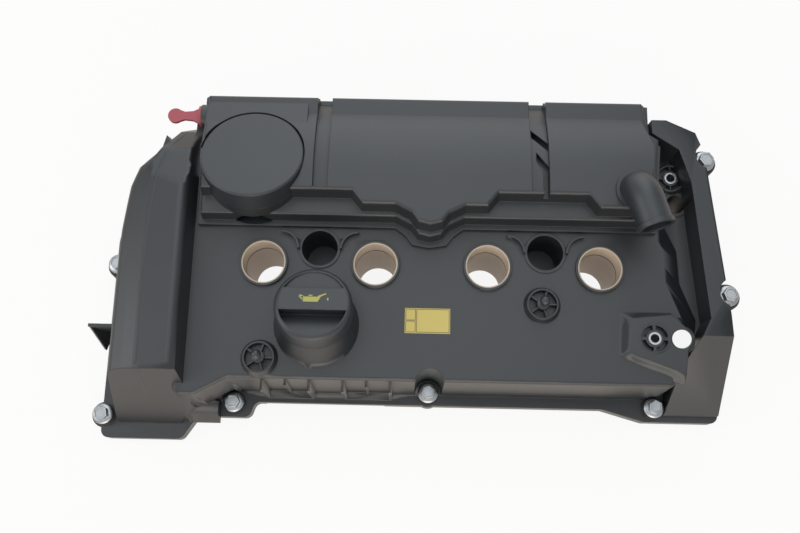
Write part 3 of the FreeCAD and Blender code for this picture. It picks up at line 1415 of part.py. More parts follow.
def elbow_seal():
    corners = [
        ("elbow_bore + 1.4", "0 - 4.5"),
        ("elbow_bore + 1.4 + elbow_seal_thick", "0 - 4.5"),
        ("elbow_bore + 1.4 + elbow_seal_thick", "0 - 1.5"),
        ("elbow_bore + 1.4", "0 - 1.5"),
    ]
    return ring_section(new_body("elbow_seal"), "elbow_seal_section", corners, on_elbow)


# Red closing plug of the port


def transport_plug():
    """A spigot with a flange and a flat paddle."""
    body = new_body("transport_plug")
    spigot = new_sketch(body, "plug_spigot", "YZ_Plane")
    pad(body, add_circle(spigot, "0", "0", "port_bore"), "8")
    doc.recompute()
    flange = new_sketch(body, "plug_flange_outline", "YZ_Plane")
    pad(body, add_circle(flange, "0", "0", "plug_flange"), "2", down=True)
    doc.recompute()
    blade = new_sketch(body, "plug_blade", offset="0 - plug_thick / 2")
    add_polygon(blade, [
        ("0 - 1", "0 - plug_flange + 1"),
        ("0 - 1", "plug_flange - 1"),
        ("0 - plug_reach * 0.35", "plug_waist + 0.6"),
        ("0 - plug_reach * 0.65", "plug_waist"),
        ("0 - plug_reach + 1", "plug_paddle - 0.3"),
        ("0 - plug_reach + 1", "0.3 - plug_paddle"),
        ("0 - plug_reach * 0.65", "0 - plug_waist"),
        ("0 - plug_reach * 0.35", "0 - plug_waist - 0.6"),
    ])
    pad(body, blade, "plug_thick")
    doc.recompute()
    round_end = new_sketch(body, "plug_round_end", offset="0 - plug_thick / 2")
    pad(body, add_circle(round_end, "0 - plug_reach", "0", "plug_paddle"), "plug_thick")
    back_y = "port_back * cos(pcv_tilt) - port_drop * sin(pcv_tilt)"
    back_z = "0 - port_back * sin(pcv_tilt) - port_drop * cos(pcv_tilt)"
    place(body, "pcv_x - pcv_radius - port_long", "pcv_y + " + back_y, "pcv_z + " + back_z)
    return body


# Plug tubes, seals and gaskets


def plug_tube(number):
    seat = "tube_rim - seal_drop"
    wall = "tube_bore + tube_wall"
    corners = [
        ("tube_bore", "tube_foot"),
        (wall, "tube_foot"),
        (wall, "tube_rim"),
        ("tube_bore", "tube_rim"),
        ("tube_bore", seat),
        ("tube_bore + seal_depth", seat),
        ("tube_bore + seal_depth", seat + " - seal_thick"),
        ("tube_bore", seat + " - seal_thick"),
    ]
    body = turned("plug_tube_%d" % number, corners)
    place(body, well_x(number))
    return body


def tube_seal(number):
    seat = "tube_rim - seal_drop"
    corners = [
        ("tube_bore", seat),
        ("tube_bore + seal_depth", seat),
        ("tube_bore + seal_depth", seat + " - seal_thick"),
        ("tube_bore", seat + " - seal_thick"),
    ]
    body = turned("tube_seal_%d" % number, corners)
    place(body, well_x(number))
    return body


def plug_gasket(number):
    inner = well_outer() + " + 0.8"
    outer = well_outer() + " + well_wall - 0.8"
    body = turned("plug_gasket_%d" % number, [(inner, "0"), (outer, "0"), (outer, "gasket_tall"), (inner, "gasket_tall")])
    place(body, well_x(number))
    return body


# Bolts with their sleeves and rubber rings


def group(label, items):
    whole = doc.addObject("Part::Compound", label)
    whole.Links = items
    whole.Label = label
    return whole


def bolt(number, seat):
    spot = bolt_spot(number)
    under = seat + " + bolt_lift"
    hexagon = doc.addObject("Part::Prism", "hexagon_%d" % number)
    hexagon.Polygon = 6
    hexagon.setExpression("Circumradius", bound("bolt_head / cos(30)"))
    hexagon.setExpression("Height", bound("bolt_head_tall"))
    place(hexagon, *spot, under + " + bolt_flange_thick")
    flange = cylinder("bolt_flange_%d" % number, "bolt_flange", "bolt_flange_thick", *spot, under)
    shank = cylinder("bolt_shank_%d" % number, "bolt_shank", under + " - bolt_end", *spot, "bolt_end")
    return fuse("bolt_%d" % number, [hexagon, flange, shank])


def tube(label, inner, outer, low, tall, spot):
    skin = cylinder(label + "_skin", outer, tall, *spot, low)
    core = cylinder(label + "_core", inner, "(%s) + 2" % tall, *spot, "(%s) - 1" % low)
    return cut(label, skin, core)


def fasteners():
    bolts = []
    sleeves = []
    rings = []
    sleeve = "bolt_shank + fit_gap + sleeve_wall"
    for number, (bolt_x, bolt_y, seat) in enumerate(BOLTS, start=1):
        spot = bolt_spot(number)
        bolts.append(bolt(number, seat))
        inner = "bolt_shank + fit_gap"
        sleeves.append(tube("sleeve_%d" % number, inner, sleeve, "tube_foot", seat + " + bolt_lift - tube_foot", spot))
        rings.append(tube("rubber_ring_%d" % number, sleeve, "grommet_radius", seat, "grommet_thick", spot))
    return [group("cover_bolts", bolts), group("bolt_sleeves", sleeves), group("bolt_grommets", rings)]


# Studs, inserts and baffle


def ball_stud(number):
    name = "one" if number == 1 else "two"
    label = "ball_stud_%d" % number
    corners = [
        ("0", "0 - 8"),
        ("stud_hole", "0 - 8"),
        ("stud_hole", "0"),
        ("stud_hub", "0"),
        ("stud_hub", "2"),
        ("stud_hole - 0.4", "2.6"),
        ("stud_hole - 0.6", "11"),
        ("0", "11"),
    ]
    stem = turned(label + "_stem", corners)
    place(stem, "stud_%s_x" % name, "stud_%s_y" % name, "stud_top - 0.4")
    ball = doc.addObject("Part::Sphere", label + "_ball")
    ball.setExpression("Radius", bound("stud_hole + 1.4"))
    place(ball, "stud_%s_x" % name, "stud_%s_y" % name, "stud_top + 11.5")
    return fuse(label, [stem, ball])


def threaded_insert(number):
    name = "one" if number == 1 else "two"
    top = "pad_top + 0.6" if number == 1 else "insert_two_top"
    corners = [
        ("insert_bore", "0 - insert_long"),
        ("insert_radius", "0 - insert_long"),
        ("insert_radius", "0"),
        ("insert_bore", "0"),
    ]
    body = turned("threaded_insert_%d" % number, corners)
    place(body, "insert_%s_x" % name, "insert_%s_y" % name, top)
    return body


def baffle_plate():
    body = new_body("baffle_plate")
    low = "deck_top - wall - baffle_drop - baffle_thick"
    outline = add_rectangle(new_sketch(body, "baffle_outline", offset=low), "baffle_left", "baffle_right", "baffle_front", "baffle_rear")
    pad(body, outline, "baffle_thick")
    round_body(body, "baffle_corners", "corner_round", is_upright)
    doc.recompute()
    holes = new_sketch(body, "baffle_holes", offset=low)
    for x, y in post_spots():
        add_circle(holes, x, y, "screw_radius + fit_gap")
    pocket(body, holes, "baffle_thick + 1", up=True)
    drains = new_sketch(body, "baffle_drains", offset=low)
    for x in ("baffle_left + 60", "baffle_right - 60"):
        add_rectangle(drains, x + " - 15", x + " + 15", "baffle_front + 26", "baffle_front + 32")
    pocket(body, drains, "baffle_thick + 1", up=True)
    return body


def baffle_screws():
    low = "deck_top - wall - baffle_drop - baffle_thick"
    screws = []
    for number, (x, y) in enumerate(post_spots(), 1):
        head = cylinder("screw_head_%d" % number, "screw_head", "2.4", x, y, low + " - 2.4")
        shank = cylinder("screw_shank_%d" % number, "screw_radius", "baffle_thick + 10", x, y, low + " - 1")
        screws.append(fuse("screw_%d" % number, [head, shank]))
    return group("baffle_screws", screws)


def check_valve(number):
    x, y = valve_spots()[number - 1]
    corners = [
        ("0", "0 - valve_thick - 0.6"),
        ("valve_radius * 0.4", "0 - valve_thick - 0.6"),
        ("valve_radius", "0 - valve_thick * 0.6"),
        ("valve_radius", "0"),
        ("1.6", "0"),
        ("1.6", "wall"),
        ("2.6", "wall"),
        ("1.4", "wall + 3"),
        ("0", "wall + 3"),
    ]
    body = turned("check_valve_%d" % number, corners)
    place(body, x, y, "deck_top - wall")
    return body


# All pieces, then the export

pieces = [
    cover_body(),
    separator_cover(),
    diaphragm_cap(),
    pcv_diaphragm(),
    support_plate(),
    pcv_spring(),
    oil_filler_cap(),
    oil_cap_seal(),
    vent_elbow(),
    elbow_seal(),
    transport_plug(),
    gasket_ring("main_gasket", "0", "0", "gasket_tall"),
    baffle_plate(),
    baffle_screws(),
]
pieces += fasteners()
for number in well_numbers:
    pieces += [plug_tube(number), tube_seal(number), plug_gasket(number)]
for number in (1, 2):
    pieces += [ball_stud(number), threaded_insert(number), check_valve(number)]
doc.recompute()

failed = [item.Label for item in doc.Objects if "Invalid" in item.State or "Error" in item.State]
if failed:
    raise ValueError("did not build: " + ", ".join(failed))
for piece in pieces:
    shape = piece.Shape
    if shape.isNull() or not shape.isValid() or not shape.Solids:
        raise ValueError(piece.Label + " has no valid solid")
    shape.exportStep("parts/%s.step" % piece.Label)
    print(piece.Label, len(shape.Solids), round(shape.Volume))
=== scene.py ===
import math

import bmesh
import bpy
from bpy.props import FloatProperty, FloatVectorProperty, PointerProperty
from mathutils import Matrix, Vector
from mathutils.bvhtree import BVHTree


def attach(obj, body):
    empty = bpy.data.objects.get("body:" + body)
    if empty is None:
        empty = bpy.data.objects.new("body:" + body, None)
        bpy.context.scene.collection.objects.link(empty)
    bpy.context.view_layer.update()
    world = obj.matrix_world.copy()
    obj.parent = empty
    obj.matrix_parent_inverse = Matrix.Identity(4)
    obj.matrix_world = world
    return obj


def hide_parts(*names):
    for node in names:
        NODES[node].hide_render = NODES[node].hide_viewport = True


bl_info = {
    "name": "Engine valve cover",
    "version": (1, 0, 0),
    "blender": (4, 5, 0),
    "location": "View3D > Sidebar > Valve cover",
    "description": "Dresses the packed valve cover with its moulded plastics, bolts, label and stage",
    "category": "Object",
}

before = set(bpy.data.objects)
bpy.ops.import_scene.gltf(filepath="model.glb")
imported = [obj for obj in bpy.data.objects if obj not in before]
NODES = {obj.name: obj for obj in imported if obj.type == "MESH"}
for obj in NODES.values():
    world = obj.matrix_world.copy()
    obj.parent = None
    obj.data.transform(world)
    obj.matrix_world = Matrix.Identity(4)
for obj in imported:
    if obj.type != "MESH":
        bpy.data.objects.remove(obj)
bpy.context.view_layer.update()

UP = Vector((0, 0, 1))

# Places and lengths are in millimetres, here and wherever MM turns them into metres.
MM = 0.001

# Flange bolts: each one's place and the height of its seat, how far the heads stand above
# the seats as the bolts are delivered, and the height of the bolt ends. Then the flange of a
# head as radius and height pairs, its hexagon, the turn of each hexagon in degrees, and the
# thread, which ends some way below the head.
BOLT_SPOTS = [
    (-127, -110.5, 14),
    (-25.6, -99, 14),
    (126, -88.7, 14),
    (302, -96.4, 14),
    (349, -17, 62),
    (337, 90, 62),
    (-126, 10, 14),
    (-30, 136, 14),
    (75, 136, 14),
    (180, 136, 14),
    (286, 136, 14),
]
HEAD_LIFT = 4
BOLT_END = 1
HEAD_FLANGE = [(0, 0), (7.7, 0), (7.95, 0.25), (7.9, 0.8), (7.4, 1.3), (5.9, 2.1), (0, 2.1)]
HEX_FOOT = 1.6
HEX_TALL = 5.9
HEX_RADIUS = 5.6
HEX_TURN = 12
HEX_TURN_STEP = 17
THREAD_LONG = 16
THREAD_PITCH = 1.0
PLAIN_SHANK = 4

# The mouth of the leaning sensor hole, the way its axis leans, and its radius.
SENSOR_HOLE = ((308.5, -53, 80), (-0.293, -0.183, 1), 7.1)

# The top of the spoked boss, and its pockets: inner and outer radius, depth, and half the
# angle of a spoke in degrees.
INSERT_BOSS = (289, -53, 80.6)
POCKET_INNER = 6.6
POCKET_OUTER = 9.8
POCKET_DEEP = 5.0
SPOKE_HALF = 9

# The crease of the hump as Y and X pairs, its section as pairs of a sideways step and a lift,
# and the faces of the side fin and of the rear clip.
CREASE = [(-104, -82.5), (-72.5, -84.4), (-31, -85.4), (27.4, -84.3), (60.6, -81.3), (90.4, -74), (104, -66.8)]
CREASE_SECTION = ((-1.5, -0.25), (-0.5, 0.45), (0.5, 0.45), (1.5, -0.25))
CREASE_STEPS = 60
FIN = [(-135.4, -46.5, 42), (-130, -60, 14), (-124, -44.5, 16)]
FIN_THICK = 2.2
REAR_CLIP = [(-85, 84, 74), (-76, 92, 76), (-80.4, 99.3, 76)]
REAR_CLIP_THICK = 9

# The filler neck leans towards the separator. The sign lies on the cap's grip, above the neck.
NECK_SPOT = (41.5, -45, 72)
NECK_TURN = Matrix.Rotation(math.radians(-12), 4, "X")
SIGN_SPOT = (0, 3.5, 35.3)
SIGN_OUTLINES = (
    [(-7, -2.5), (3.5, -2.5), (5.6, 1.6), (9.5, 3.6), (9.0, 4.3), (4.2, 2.4), (3.2, 1.4), (-7, 1.4)],
    [(-7.6, -1.2), (-10.2, 1.6), (-9.2, 3.0), (-7.0, 2.2), (-7.0, 1.4), (-8.8, 2.0), (-9.1, 1.6), (-7.2, -0.4)],
    [(-3.2, 2.0), (-0.4, 2.0), (-0.4, 2.8), (-3.2, 2.8)],
    [(10.6, 1.0), (11.3, -0.4), (10.9, -1.3), (10.3, -1.3), (9.9, -0.4)],
)

# The middle of the label, its size, the boxes of its frames (left, right, low, high), and the
# height, the width and the thickness of their rules.
LABEL_SPOT = (123.6, -42, 72.1)
LABEL_SIZE = (33.6, 18.9, 0.3)
LABEL_FRAMES = ((-16, -9, -8.6, -0.4), (-16, -9, 0.4, 8.6), (-8, 16, -8.6, 8.6))
RULE_HEIGHT = 72.28
RULE_WIDE = 0.35
RULE_THICK = 0.08

# The rear outer corner of the hump is slanted off. Along Y: the X of its upper edge and of
# the flange, and the height of the hump.
HUMP_EDGE = [
    (-10, -106), (20, -103.9), (54.5, -99.9), (69, -95.2), (80.4, -84), (92, -77.5), (105.3, -71),
    (113, -68), (118, -67),
]
HUMP_FLANGE = [(30, -129), (60, -125), (80, -120), (96, -113), (106, -101), (118, -92), (129, -84)]
HUMP_HEIGHT = [(50, 96), (84, 86.4), (105, 69), (118, 43)]
# Rows of points along Y, X and Z, in this order, let its faces bend.
HUMP_ROWS = (
    (Vector((0, 1, 0)), (0, 20, 30, 42, 54, 62, 69, 75, 80, 86, 92, 99, 105, 109, 113, 118, 124)),
    (Vector((1, 0, 0)), (-60, -68, -76, -86, -96)),
    (Vector((0, 0, 1)), (30, 50, 70)),
)
# Only what lies left of this X and behind this Y moves.
HUMP_RIGHT = -50
HUMP_FRONT = -10
# The straight outer side that it starts from: the edge and the top of the flange, the wall's
# foot on it, the wall's X at the joint face, how far it leans in, and up to what height.
FLANGE_OUTER = -129
FLANGE_TOP = 12
WALL_FOOT = -116.3
WALL_OUTER = -118
WALL_LEAN = 12
WALL_TOP = 86
# How deep the pressed bands are, and the X that the wall's band never passes.
FLANGE_BAND = 16
WALL_BAND = 14
WALL_INNER = -58

CAMERA_SPOT = (108.57, -178.25, 762.76)
CAMERA_TILT = math.radians(14.41)
CAMERA_YAW = math.radians(2.0)
CAMERA_ROLL = math.radians(-0.73)
COOL_WHITE = (0.93, 0.97, 1.0)
WARM_WHITE = (1.0, 0.9, 0.8)

# Numbers of a Mix node's colour sockets, whose names stand for other sockets too.
MIX_LOW = 6
MIX_HIGH = 7
MIX_RESULT = 2


# Shader maths


class Sock:
    """A socket of a material's nodes that takes part in sums and products."""

    def __init__(self, tree, socket):
        self.tree = tree
        self.socket = socket

    def sum_node(self, operation, *inputs):
        node = self.tree.nodes.new("ShaderNodeMath")
        node.operation = operation
        for place, item in enumerate(inputs):
            if isinstance(item, Sock):
                self.tree.links.new(item.socket, node.inputs[place])
            else:
                node.inputs[place].default_value = item
        return Sock(self.tree, node.outputs[0])

    def __add__(self, other):
        return self.sum_node("ADD", self, other)

    def __radd__(self, other):
        return self.sum_node("ADD", other, self)

    def __mul__(self, other):
        return self.sum_node("MULTIPLY", self, other)

    def __rmul__(self, other):
        return self.sum_node("MULTIPLY", other, self)

    def above(self, limit):
        return self.sum_node("GREATER_THAN", self, limit)


class Finish:
    """A material with a Principled shader and one way to add nodes."""

    def __init__(self, name):
        self.material = bpy.data.materials.new(name)
        self.material.use_nodes = True
        self.tree = self.material.node_tree
        self.shader = self.tree.nodes["Principled BSDF"]

    def node(self, kind, settings=None, **inputs):
        """A node of that kind: its settings first, then values or links of its sockets."""
        item = self.tree.nodes.new(kind)
        for key, value in (settings or {}).items():
            setattr(item, key, value)
        for key, value in inputs.items():
            self.feed(item, key, value)
        return item

    def feed(self, item, place, value):
        """Gives a socket, named or numbered, its value or its link."""
        if isinstance(value, Sock):
            self.tree.links.new(value.socket, item.inputs[place])
        else:
            item.inputs[place].default_value = value

    def out(self, item, place=0):
        return Sock(self.tree, item.outputs[place])

    def noise(self, scale, detail, rough):
        """Noise on Object coordinates, so that it stays on the piece."""
        spot = self.out(self.node("ShaderNodeTexCoord"), "Object")
        item = self.node("ShaderNodeTexNoise", Vector=spot, Scale=scale, Detail=detail, Roughness=rough)
        return self.out(item, "Fac")

    def blend(self, factor, low, high):
        """A mix of two colours."""
        item = self.node("ShaderNodeMix", {"data_type": "RGBA"})
        self.feed(item, 0, factor)
        self.feed(item, MIX_LOW, (*low, 1))
        self.feed(item, MIX_HIGH, (*high, 1))
        return self.out(item, MIX_RESULT)

    def relief(self, height, strength, distance, edge=0.0):
        """Bump from a height, over edges softened by the given radius, in metres."""
        inputs = {"Height": height, "Strength": strength, "Distance": distance}
        if edge:
            soft = self.node("ShaderNodeBevel", {"samples": 4}, Radius=edge)
            inputs["Normal"] = self.out(soft, "Normal")
        self.set("Normal", self.out(self.node("ShaderNodeBump", **inputs), "Normal"))

    def set(self, name, value):
        self.feed(self.shader, name, value)


def moulded_plastic(name, colour, rough, grain, edge):
    """Glass-filled plastic: a fine grain, faint mottling and softened edges."""
    finish = Finish(name)
    cloud = finish.noise(34.0, 4.0, 0.6)
    speck = finish.noise(2600.0, 2.0, 0.6)
    dark = [part * 0.86 for part in colour]
    light = [part * 1.12 for part in colour]
    finish.set("Base Color", finish.blend(cloud, dark, light))
    finish.set("Roughness", rough - 0.06 + cloud * 0.08 + speck * 0.06)
    finish.set("Specular IOR Level", 0.8)
    finish.relief(speck * 0.7 + cloud * 0.3, grain, 0.0004, edge)
    return finish.material


def rubber(name):
    """Matt black rubber with a dusty cloud."""
    finish = Finish(name)
    cloud = finish.noise(90.0, 3.0, 0.5)
    black = (0.018, 0.018, 0.019)
    finish.set("Base Color", finish.blend(cloud, black, [part * 1.8 for part in black]))
    finish.set("Roughness", 0.6 + cloud * 0.2)
    finish.relief(cloud, 0.15, 0.0003)
    return finish.material


def zinc(name):
    """Zinc plated steel with a cloudy passivation."""
    finish = Finish(name)
    cloud = finish.noise(260.0, 5.0, 0.65)
    stain = finish.noise(60.0, 2.0, 0.5)
    grey = (0.58, 0.6, 0.62)
    finish.set("Base Color", finish.blend(stain, [part * 0.72 for part in grey], grey))
    finish.set("Metallic", 1.0)
    finish.set("Roughness", 0.24 + cloud * 0.22)
    finish.relief(cloud, 0.12, 0.0002, 0.0003)
    return finish.material


def ink(name, colour):
    """Flat print."""
    finish = Finish(name)
    finish.set("Base Color", (*colour, 1))
    finish.set("Roughness", 0.5)
    return finish.material


def give(material, *pieces):
    """Sets the one material of some pieces."""
    for piece in pieces:
        piece.data.materials.clear()
        piece.data.materials.append(material)


# Shapes


def as_data(mesh, name):
    """Turns a bmesh into mesh data."""
    data = bpy.data.meshes.new(name)
    mesh.to_mesh(data)
    mesh.free()
    return data


def placed(name, data):
    """A new object in the scene."""
    item = bpy.data.objects.new(name, data)
    bpy.context.scene.collection.objects.link(item)
    return item


def evaluated(item):
    """An object's mesh data with its modifiers applied."""
    graph = bpy.context.evaluated_depsgraph_get()
    return bpy.data.meshes.new_from_object(item.evaluated_get(graph))


def weighted_normals(piece):
    """Lets the large faces lead the shading, so that flat faces stay flat beside their fillets."""
    lead = piece.modifiers.new("lead", "WEIGHTED_NORMAL")
    lead.keep_sharp = True
    lead.weight = 100
    plain = piece.data
    piece.data = evaluated(piece)
    piece.modifiers.remove(lead)
    bpy.data.meshes.remove(plain)


def finish_piece(mesh, name, material, body="cover", replaced=(), smooth=35):
    """Turns the bmesh into a piece that rides on a body."""
    bmesh.ops.remove_doubles(mesh, verts=mesh.verts, dist=1e-6)
    bmesh.ops.recalc_face_normals(mesh, faces=mesh.faces)
    piece = placed(name, as_data(mesh, name))
    if smooth:
        piece.data.shade_smooth()
        piece.data.set_sharp_from_angle(angle=math.radians(smooth))
        weighted_normals(piece)
    give(material, piece)
    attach(piece, body)
    if replaced:
        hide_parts(*replaced)


def moved(part, at, turn=None):
    """Turns a bmesh, then moves it from the origin to a place."""
    move = Matrix.Translation(Vector(at) * MM)
    if turn is not None:
        move = move @ turn
    bmesh.ops.transform(part, matrix=move, verts=part.verts)


def join(mesh, part):
    """Adds one bmesh to another."""
    data = as_data(part, "part")
    mesh.from_mesh(data)
    bpy.data.meshes.remove(data)


def turned_part(profile, at, steps, turn=None):
    """A turned form from radius and height pairs."""
    part = bmesh.new()
    verts = [part.verts.new(Vector((radius, 0, height)) * MM) for radius, height in profile]
    edges = [part.edges.new(pair) for pair in zip(verts, verts[1:])]
    bmesh.ops.spin(
        part, geom=verts + edges, cent=(0, 0, 0), axis=UP, angle=math.tau, steps=steps, use_merge=True
    )
    bmesh.ops.remove_doubles(part, verts=part.verts, dist=1e-7)
    moved(part, at, turn)
    return part


def plate(corners, thick, along=None):
    """A plate from its corners, thickened along a direction or else behind its face."""
    part = bmesh.new()
    face = part.faces.new([part.verts.new(Vector(corner) * MM) for corner in corners])
    face.normal_update()
    rise = -face.normal if along is None else along
    made = bmesh.ops.extrude_face_region(part, geom=[face])
    ends = [item for item in made["geom"] if isinstance(item, bmesh.types.BMVert)]
    bmesh.ops.translate(part, vec=rise * thick * MM, verts=ends)
    return part


def level_plate(outline, at, thick):
    """A level plate from an outline about a place."""
    part = plate([(x, y, 0) for x, y in outline], thick, UP)
    moved(part, at)
    return part


def bevelled_box(size, at, bevel):
    """A box with fine bevels on all its edges."""
    part = bmesh.new()
    bmesh.ops.create_cube(part, size=1.0)
    bmesh.ops.scale(part, vec=Vector(size) * MM, verts=part.verts)
    bmesh.ops.bevel(
        part, geom=part.edges[:], offset=bevel * MM, offset_type="OFFSET", segments=1,
        profile=0.5, affect="EDGES", material=-1, clamp_overlap=True,
    )
    moved(part, at)
    return part


def carved(mesh, tools):
    """The bmesh with each of the tools cut out of it."""
    data = as_data(mesh, "block")
    for tool in tools:
        bmesh.ops.recalc_face_normals(tool, faces=tool.faces)
        knife = placed("knife", as_data(tool, "knife"))
        block = placed("block", data)
        cut = block.modifiers.new("cut", "BOOLEAN")
        cut.operation = "DIFFERENCE"
        cut.solver = "EXACT"
        cut.object = knife
        result = evaluated(block)
        for item in (knife, block):
            spent = item.data
            bpy.data.objects.remove(item)
            bpy.data.meshes.remove(spent)
        data = result
    carving = bmesh.new()
    carving.from_mesh(data)
    bpy.data.meshes.remove(data)
    return carving


def leaning_hole(mouth, lean, radius):
    """A long cylinder that cuts a hole through a mouth, leaning along the given direction."""
    below, above = -100, 3
    turn = Vector(lean).to_track_quat("Z", "Y").to_matrix().to_4x4()
    return turned_part([(0, below), (radius, below), (radius, above), (0, above)], mouth, 40, turn)


def pocket(top, start):
    """The tool for a pocket between two spokes of a boss, from an angle in degrees on."""
    sweep = 90 - 2 * SPOKE_HALF
    angles = [math.radians(start + SPOKE_HALF + sweep * step / 8) for step in range(9)]
    outline = [(POCKET_OUTER * math.cos(angle), POCKET_OUTER * math.sin(angle)) for angle in angles]
    outline += [(POCKET_INNER * math.cos(angle), POCKET_INNER * math.sin(angle)) for angle in reversed(angles)]
    x, y, z = top
    return level_plate(outline, (x, y, z - POCKET_DEEP), POCKET_DEEP + 2)


def between(table, place):
    """A value read from a table of place and value pairs, straight between its rows."""
    if place <= table[0][0]:
        return table[0][1]
    for (low, first), (high, second) in zip(table, table[1:]):
        if place <= high:
            return first + (second - first) * (place - low) / (high - low)
    return table[-1][1]


def squeezed(x, outer, limit, depth):
    """Presses what lies outside the limit into a band of the given depth behind it."""
    inner = limit + depth
    if x >= inner or outer >= limit:
        return x
    return limit + (x - outer) * depth / (inner - outer)


def slanted_corner(spot):
    """Where a point of the hump goes when its rear outer corner is slanted off."""
    x, y, z = spot / MM
    if x > HUMP_RIGHT or y < HUMP_FRONT:
        return spot
    flange = between(HUMP_FLANGE, y)
    if z <= FLANGE_TOP + 0.6:
        return Vector((squeezed(x, FLANGE_OUTER, flange, FLANGE_BAND), y, z)) * MM
    rise = min(1.0, (z - FLANGE_TOP) / (between(HUMP_HEIGHT, y) - FLANGE_TOP))
    foot = squeezed(WALL_FOOT, FLANGE_OUTER, flange, FLANGE_BAND)
    limit = foot + (between(HUMP_EDGE, y) - foot) * rise
    wall = WALL_OUTER + WALL_LEAN * min(z, WALL_TOP) / WALL_TOP
    return Vector((squeezed(x, wall, limit, min(WALL_BAND, WALL_INNER - limit)), y, z)) * MM


def plain_copy(node):
    """The closed mesh of a node, free to be reshaped."""
    mesh = bmesh.new()
    mesh.from_mesh(NODES[node].data)
    bmesh.ops.remove_doubles(mesh, verts=mesh.verts, dist=1e-6)
    return mesh


def cut_across(mesh, spot, across):
    """Adds a row of points where a plane meets the outer end of the hump."""
    near = [
        face for face in mesh.faces
        if min(vert.co.x for vert in face.verts) < HUMP_RIGHT * MM
        and max(vert.co.y for vert in face.verts) > HUMP_FRONT * MM
    ]
    verts = {vert for face in near for vert in face.verts}
    edges = {edge for face in near for edge in face.edges}
    geom = list(verts) + list(edges) + near
    bmesh.ops.bisect_plane(mesh, geom=geom, dist=1e-7, plane_co=spot, plane_no=across)


def reshaped(mesh):
    """Slants off the rear outer corner of the hump, on wide faces that are cut into rows first."""
    bmesh.ops.dissolve_limit(mesh, angle_limit=math.radians(0.4), verts=mesh.verts, edges=mesh.edges)
    for across, places in HUMP_ROWS:
        for place in places:
            cut_across(mesh, across * place * MM, across)
    for vert in mesh.verts:
        vert.co = slanted_corner(vert.co)
    return mesh


# Settings


class CoverSettings(bpy.types.PropertyGroup):
    """Colours and finishes of the valve cover."""

    plastic: FloatVectorProperty(
        name="Cover plastic", description="Colour of the black moulding", subtype="COLOR", size=3,
        min=0, max=1, default=(0.017, 0.020, 0.023),
    )
    cap_plastic: FloatVectorProperty(
        name="Cap plastic", description="Colour of the oil filler cap and the diaphragm cap", subtype="COLOR",
        size=3, min=0, max=1, default=(0.019, 0.023, 0.028),
    )
    liner: FloatVectorProperty(
        name="Liner plastic", description="Colour of the plug tubes", subtype="COLOR", size=3,
        min=0, max=1, default=(0.60, 0.48, 0.36),
    )
    plug_red: FloatVectorProperty(
        name="Plug red", description="Colour of the closing plug", subtype="COLOR", size=3,
        min=0, max=1, default=(0.36, 0.055, 0.075),
    )
    label_yellow: FloatVectorProperty(
        name="Label yellow", description="Colour of the label on the deck", subtype="COLOR", size=3,
        min=0, max=1, default=(0.62, 0.50, 0.14),
    )
    roughness: FloatProperty(
        name="Plastic roughness", description="How matt the moulding is", default=0.40, min=0, max=1,
        subtype="FACTOR",
    )
    grain: FloatProperty(
        name="Grain", description="Strength of the moulded grain", default=0.25, min=0, max=1, subtype="FACTOR",
    )


class StageSettings(bpy.types.PropertyGroup):
    """Lamps and camera."""

    lens: FloatProperty(
        name="Lens", description="Focal length of the camera in millimetres", default=42.75, min=10,
    )
    top_light: FloatProperty(
        name="Top light", description="Power of the lamp overhead", default=5.4, min=0, unit="POWER",
    )
    side_light: FloatProperty(
        name="Side light", description="Power of the lamp at the left", default=4.0, min=0, unit="POWER",
    )
    rear_light: FloatProperty(
        name="Rear light", description="Power of the lamp behind", default=8.0, min=0, unit="POWER",
    )
    front_light: FloatProperty(
        name="Front light", description="Power of the warm lamp in front", default=10.0, min=0, unit="POWER",
    )
    sky: FloatProperty(name="Sky", description="Strength of the even light around", default=0.5, min=0)


# Operators


class CoverOperator:
    """What the operators share."""

    bl_options = {"REGISTER", "UNDO"}


class COVER_OT_mouldings(CoverOperator, bpy.types.Operator):
    """Gives the black mouldings their grained plastic and carves the cover"""

    bl_idname = "cover.mouldings"
    bl_label = "Mouldings"

    def execute(self, context):
        looks = context.scene.cover_looks
        plastic = moulded_plastic("cover_plastic", looks.plastic, looks.roughness, looks.grain, 0.0009)
        give(plastic, NODES["separator_cover"], NODES["baffle_plate"])
        pockets = [pocket(INSERT_BOSS, start) for start in (0, 90, 180, 270)]
        cover = carved(plain_copy("cover_body"), [leaning_hole(*SENSOR_HOLE)] + pockets)
        finish_piece(reshaped(cover), "cover_moulding", plastic, replaced=["cover_body"])
        cap = moulded_plastic("cap_plastic", looks.cap_plastic, looks.roughness + 0.04, looks.grain, 0.0012)
        names = ["diaphragm_cap", "vent_elbow", "oil_filler_cap", "pcv_support_plate"]
        give(cap, *[NODES[name] for name in names])
        stud = moulded_plastic("stud_plastic", looks.cap_plastic, 0.4, 0.1, 0.0003)
        give(stud, NODES["ball_stud_1"], NODES["ball_stud_2"])
        return {"FINISHED"}


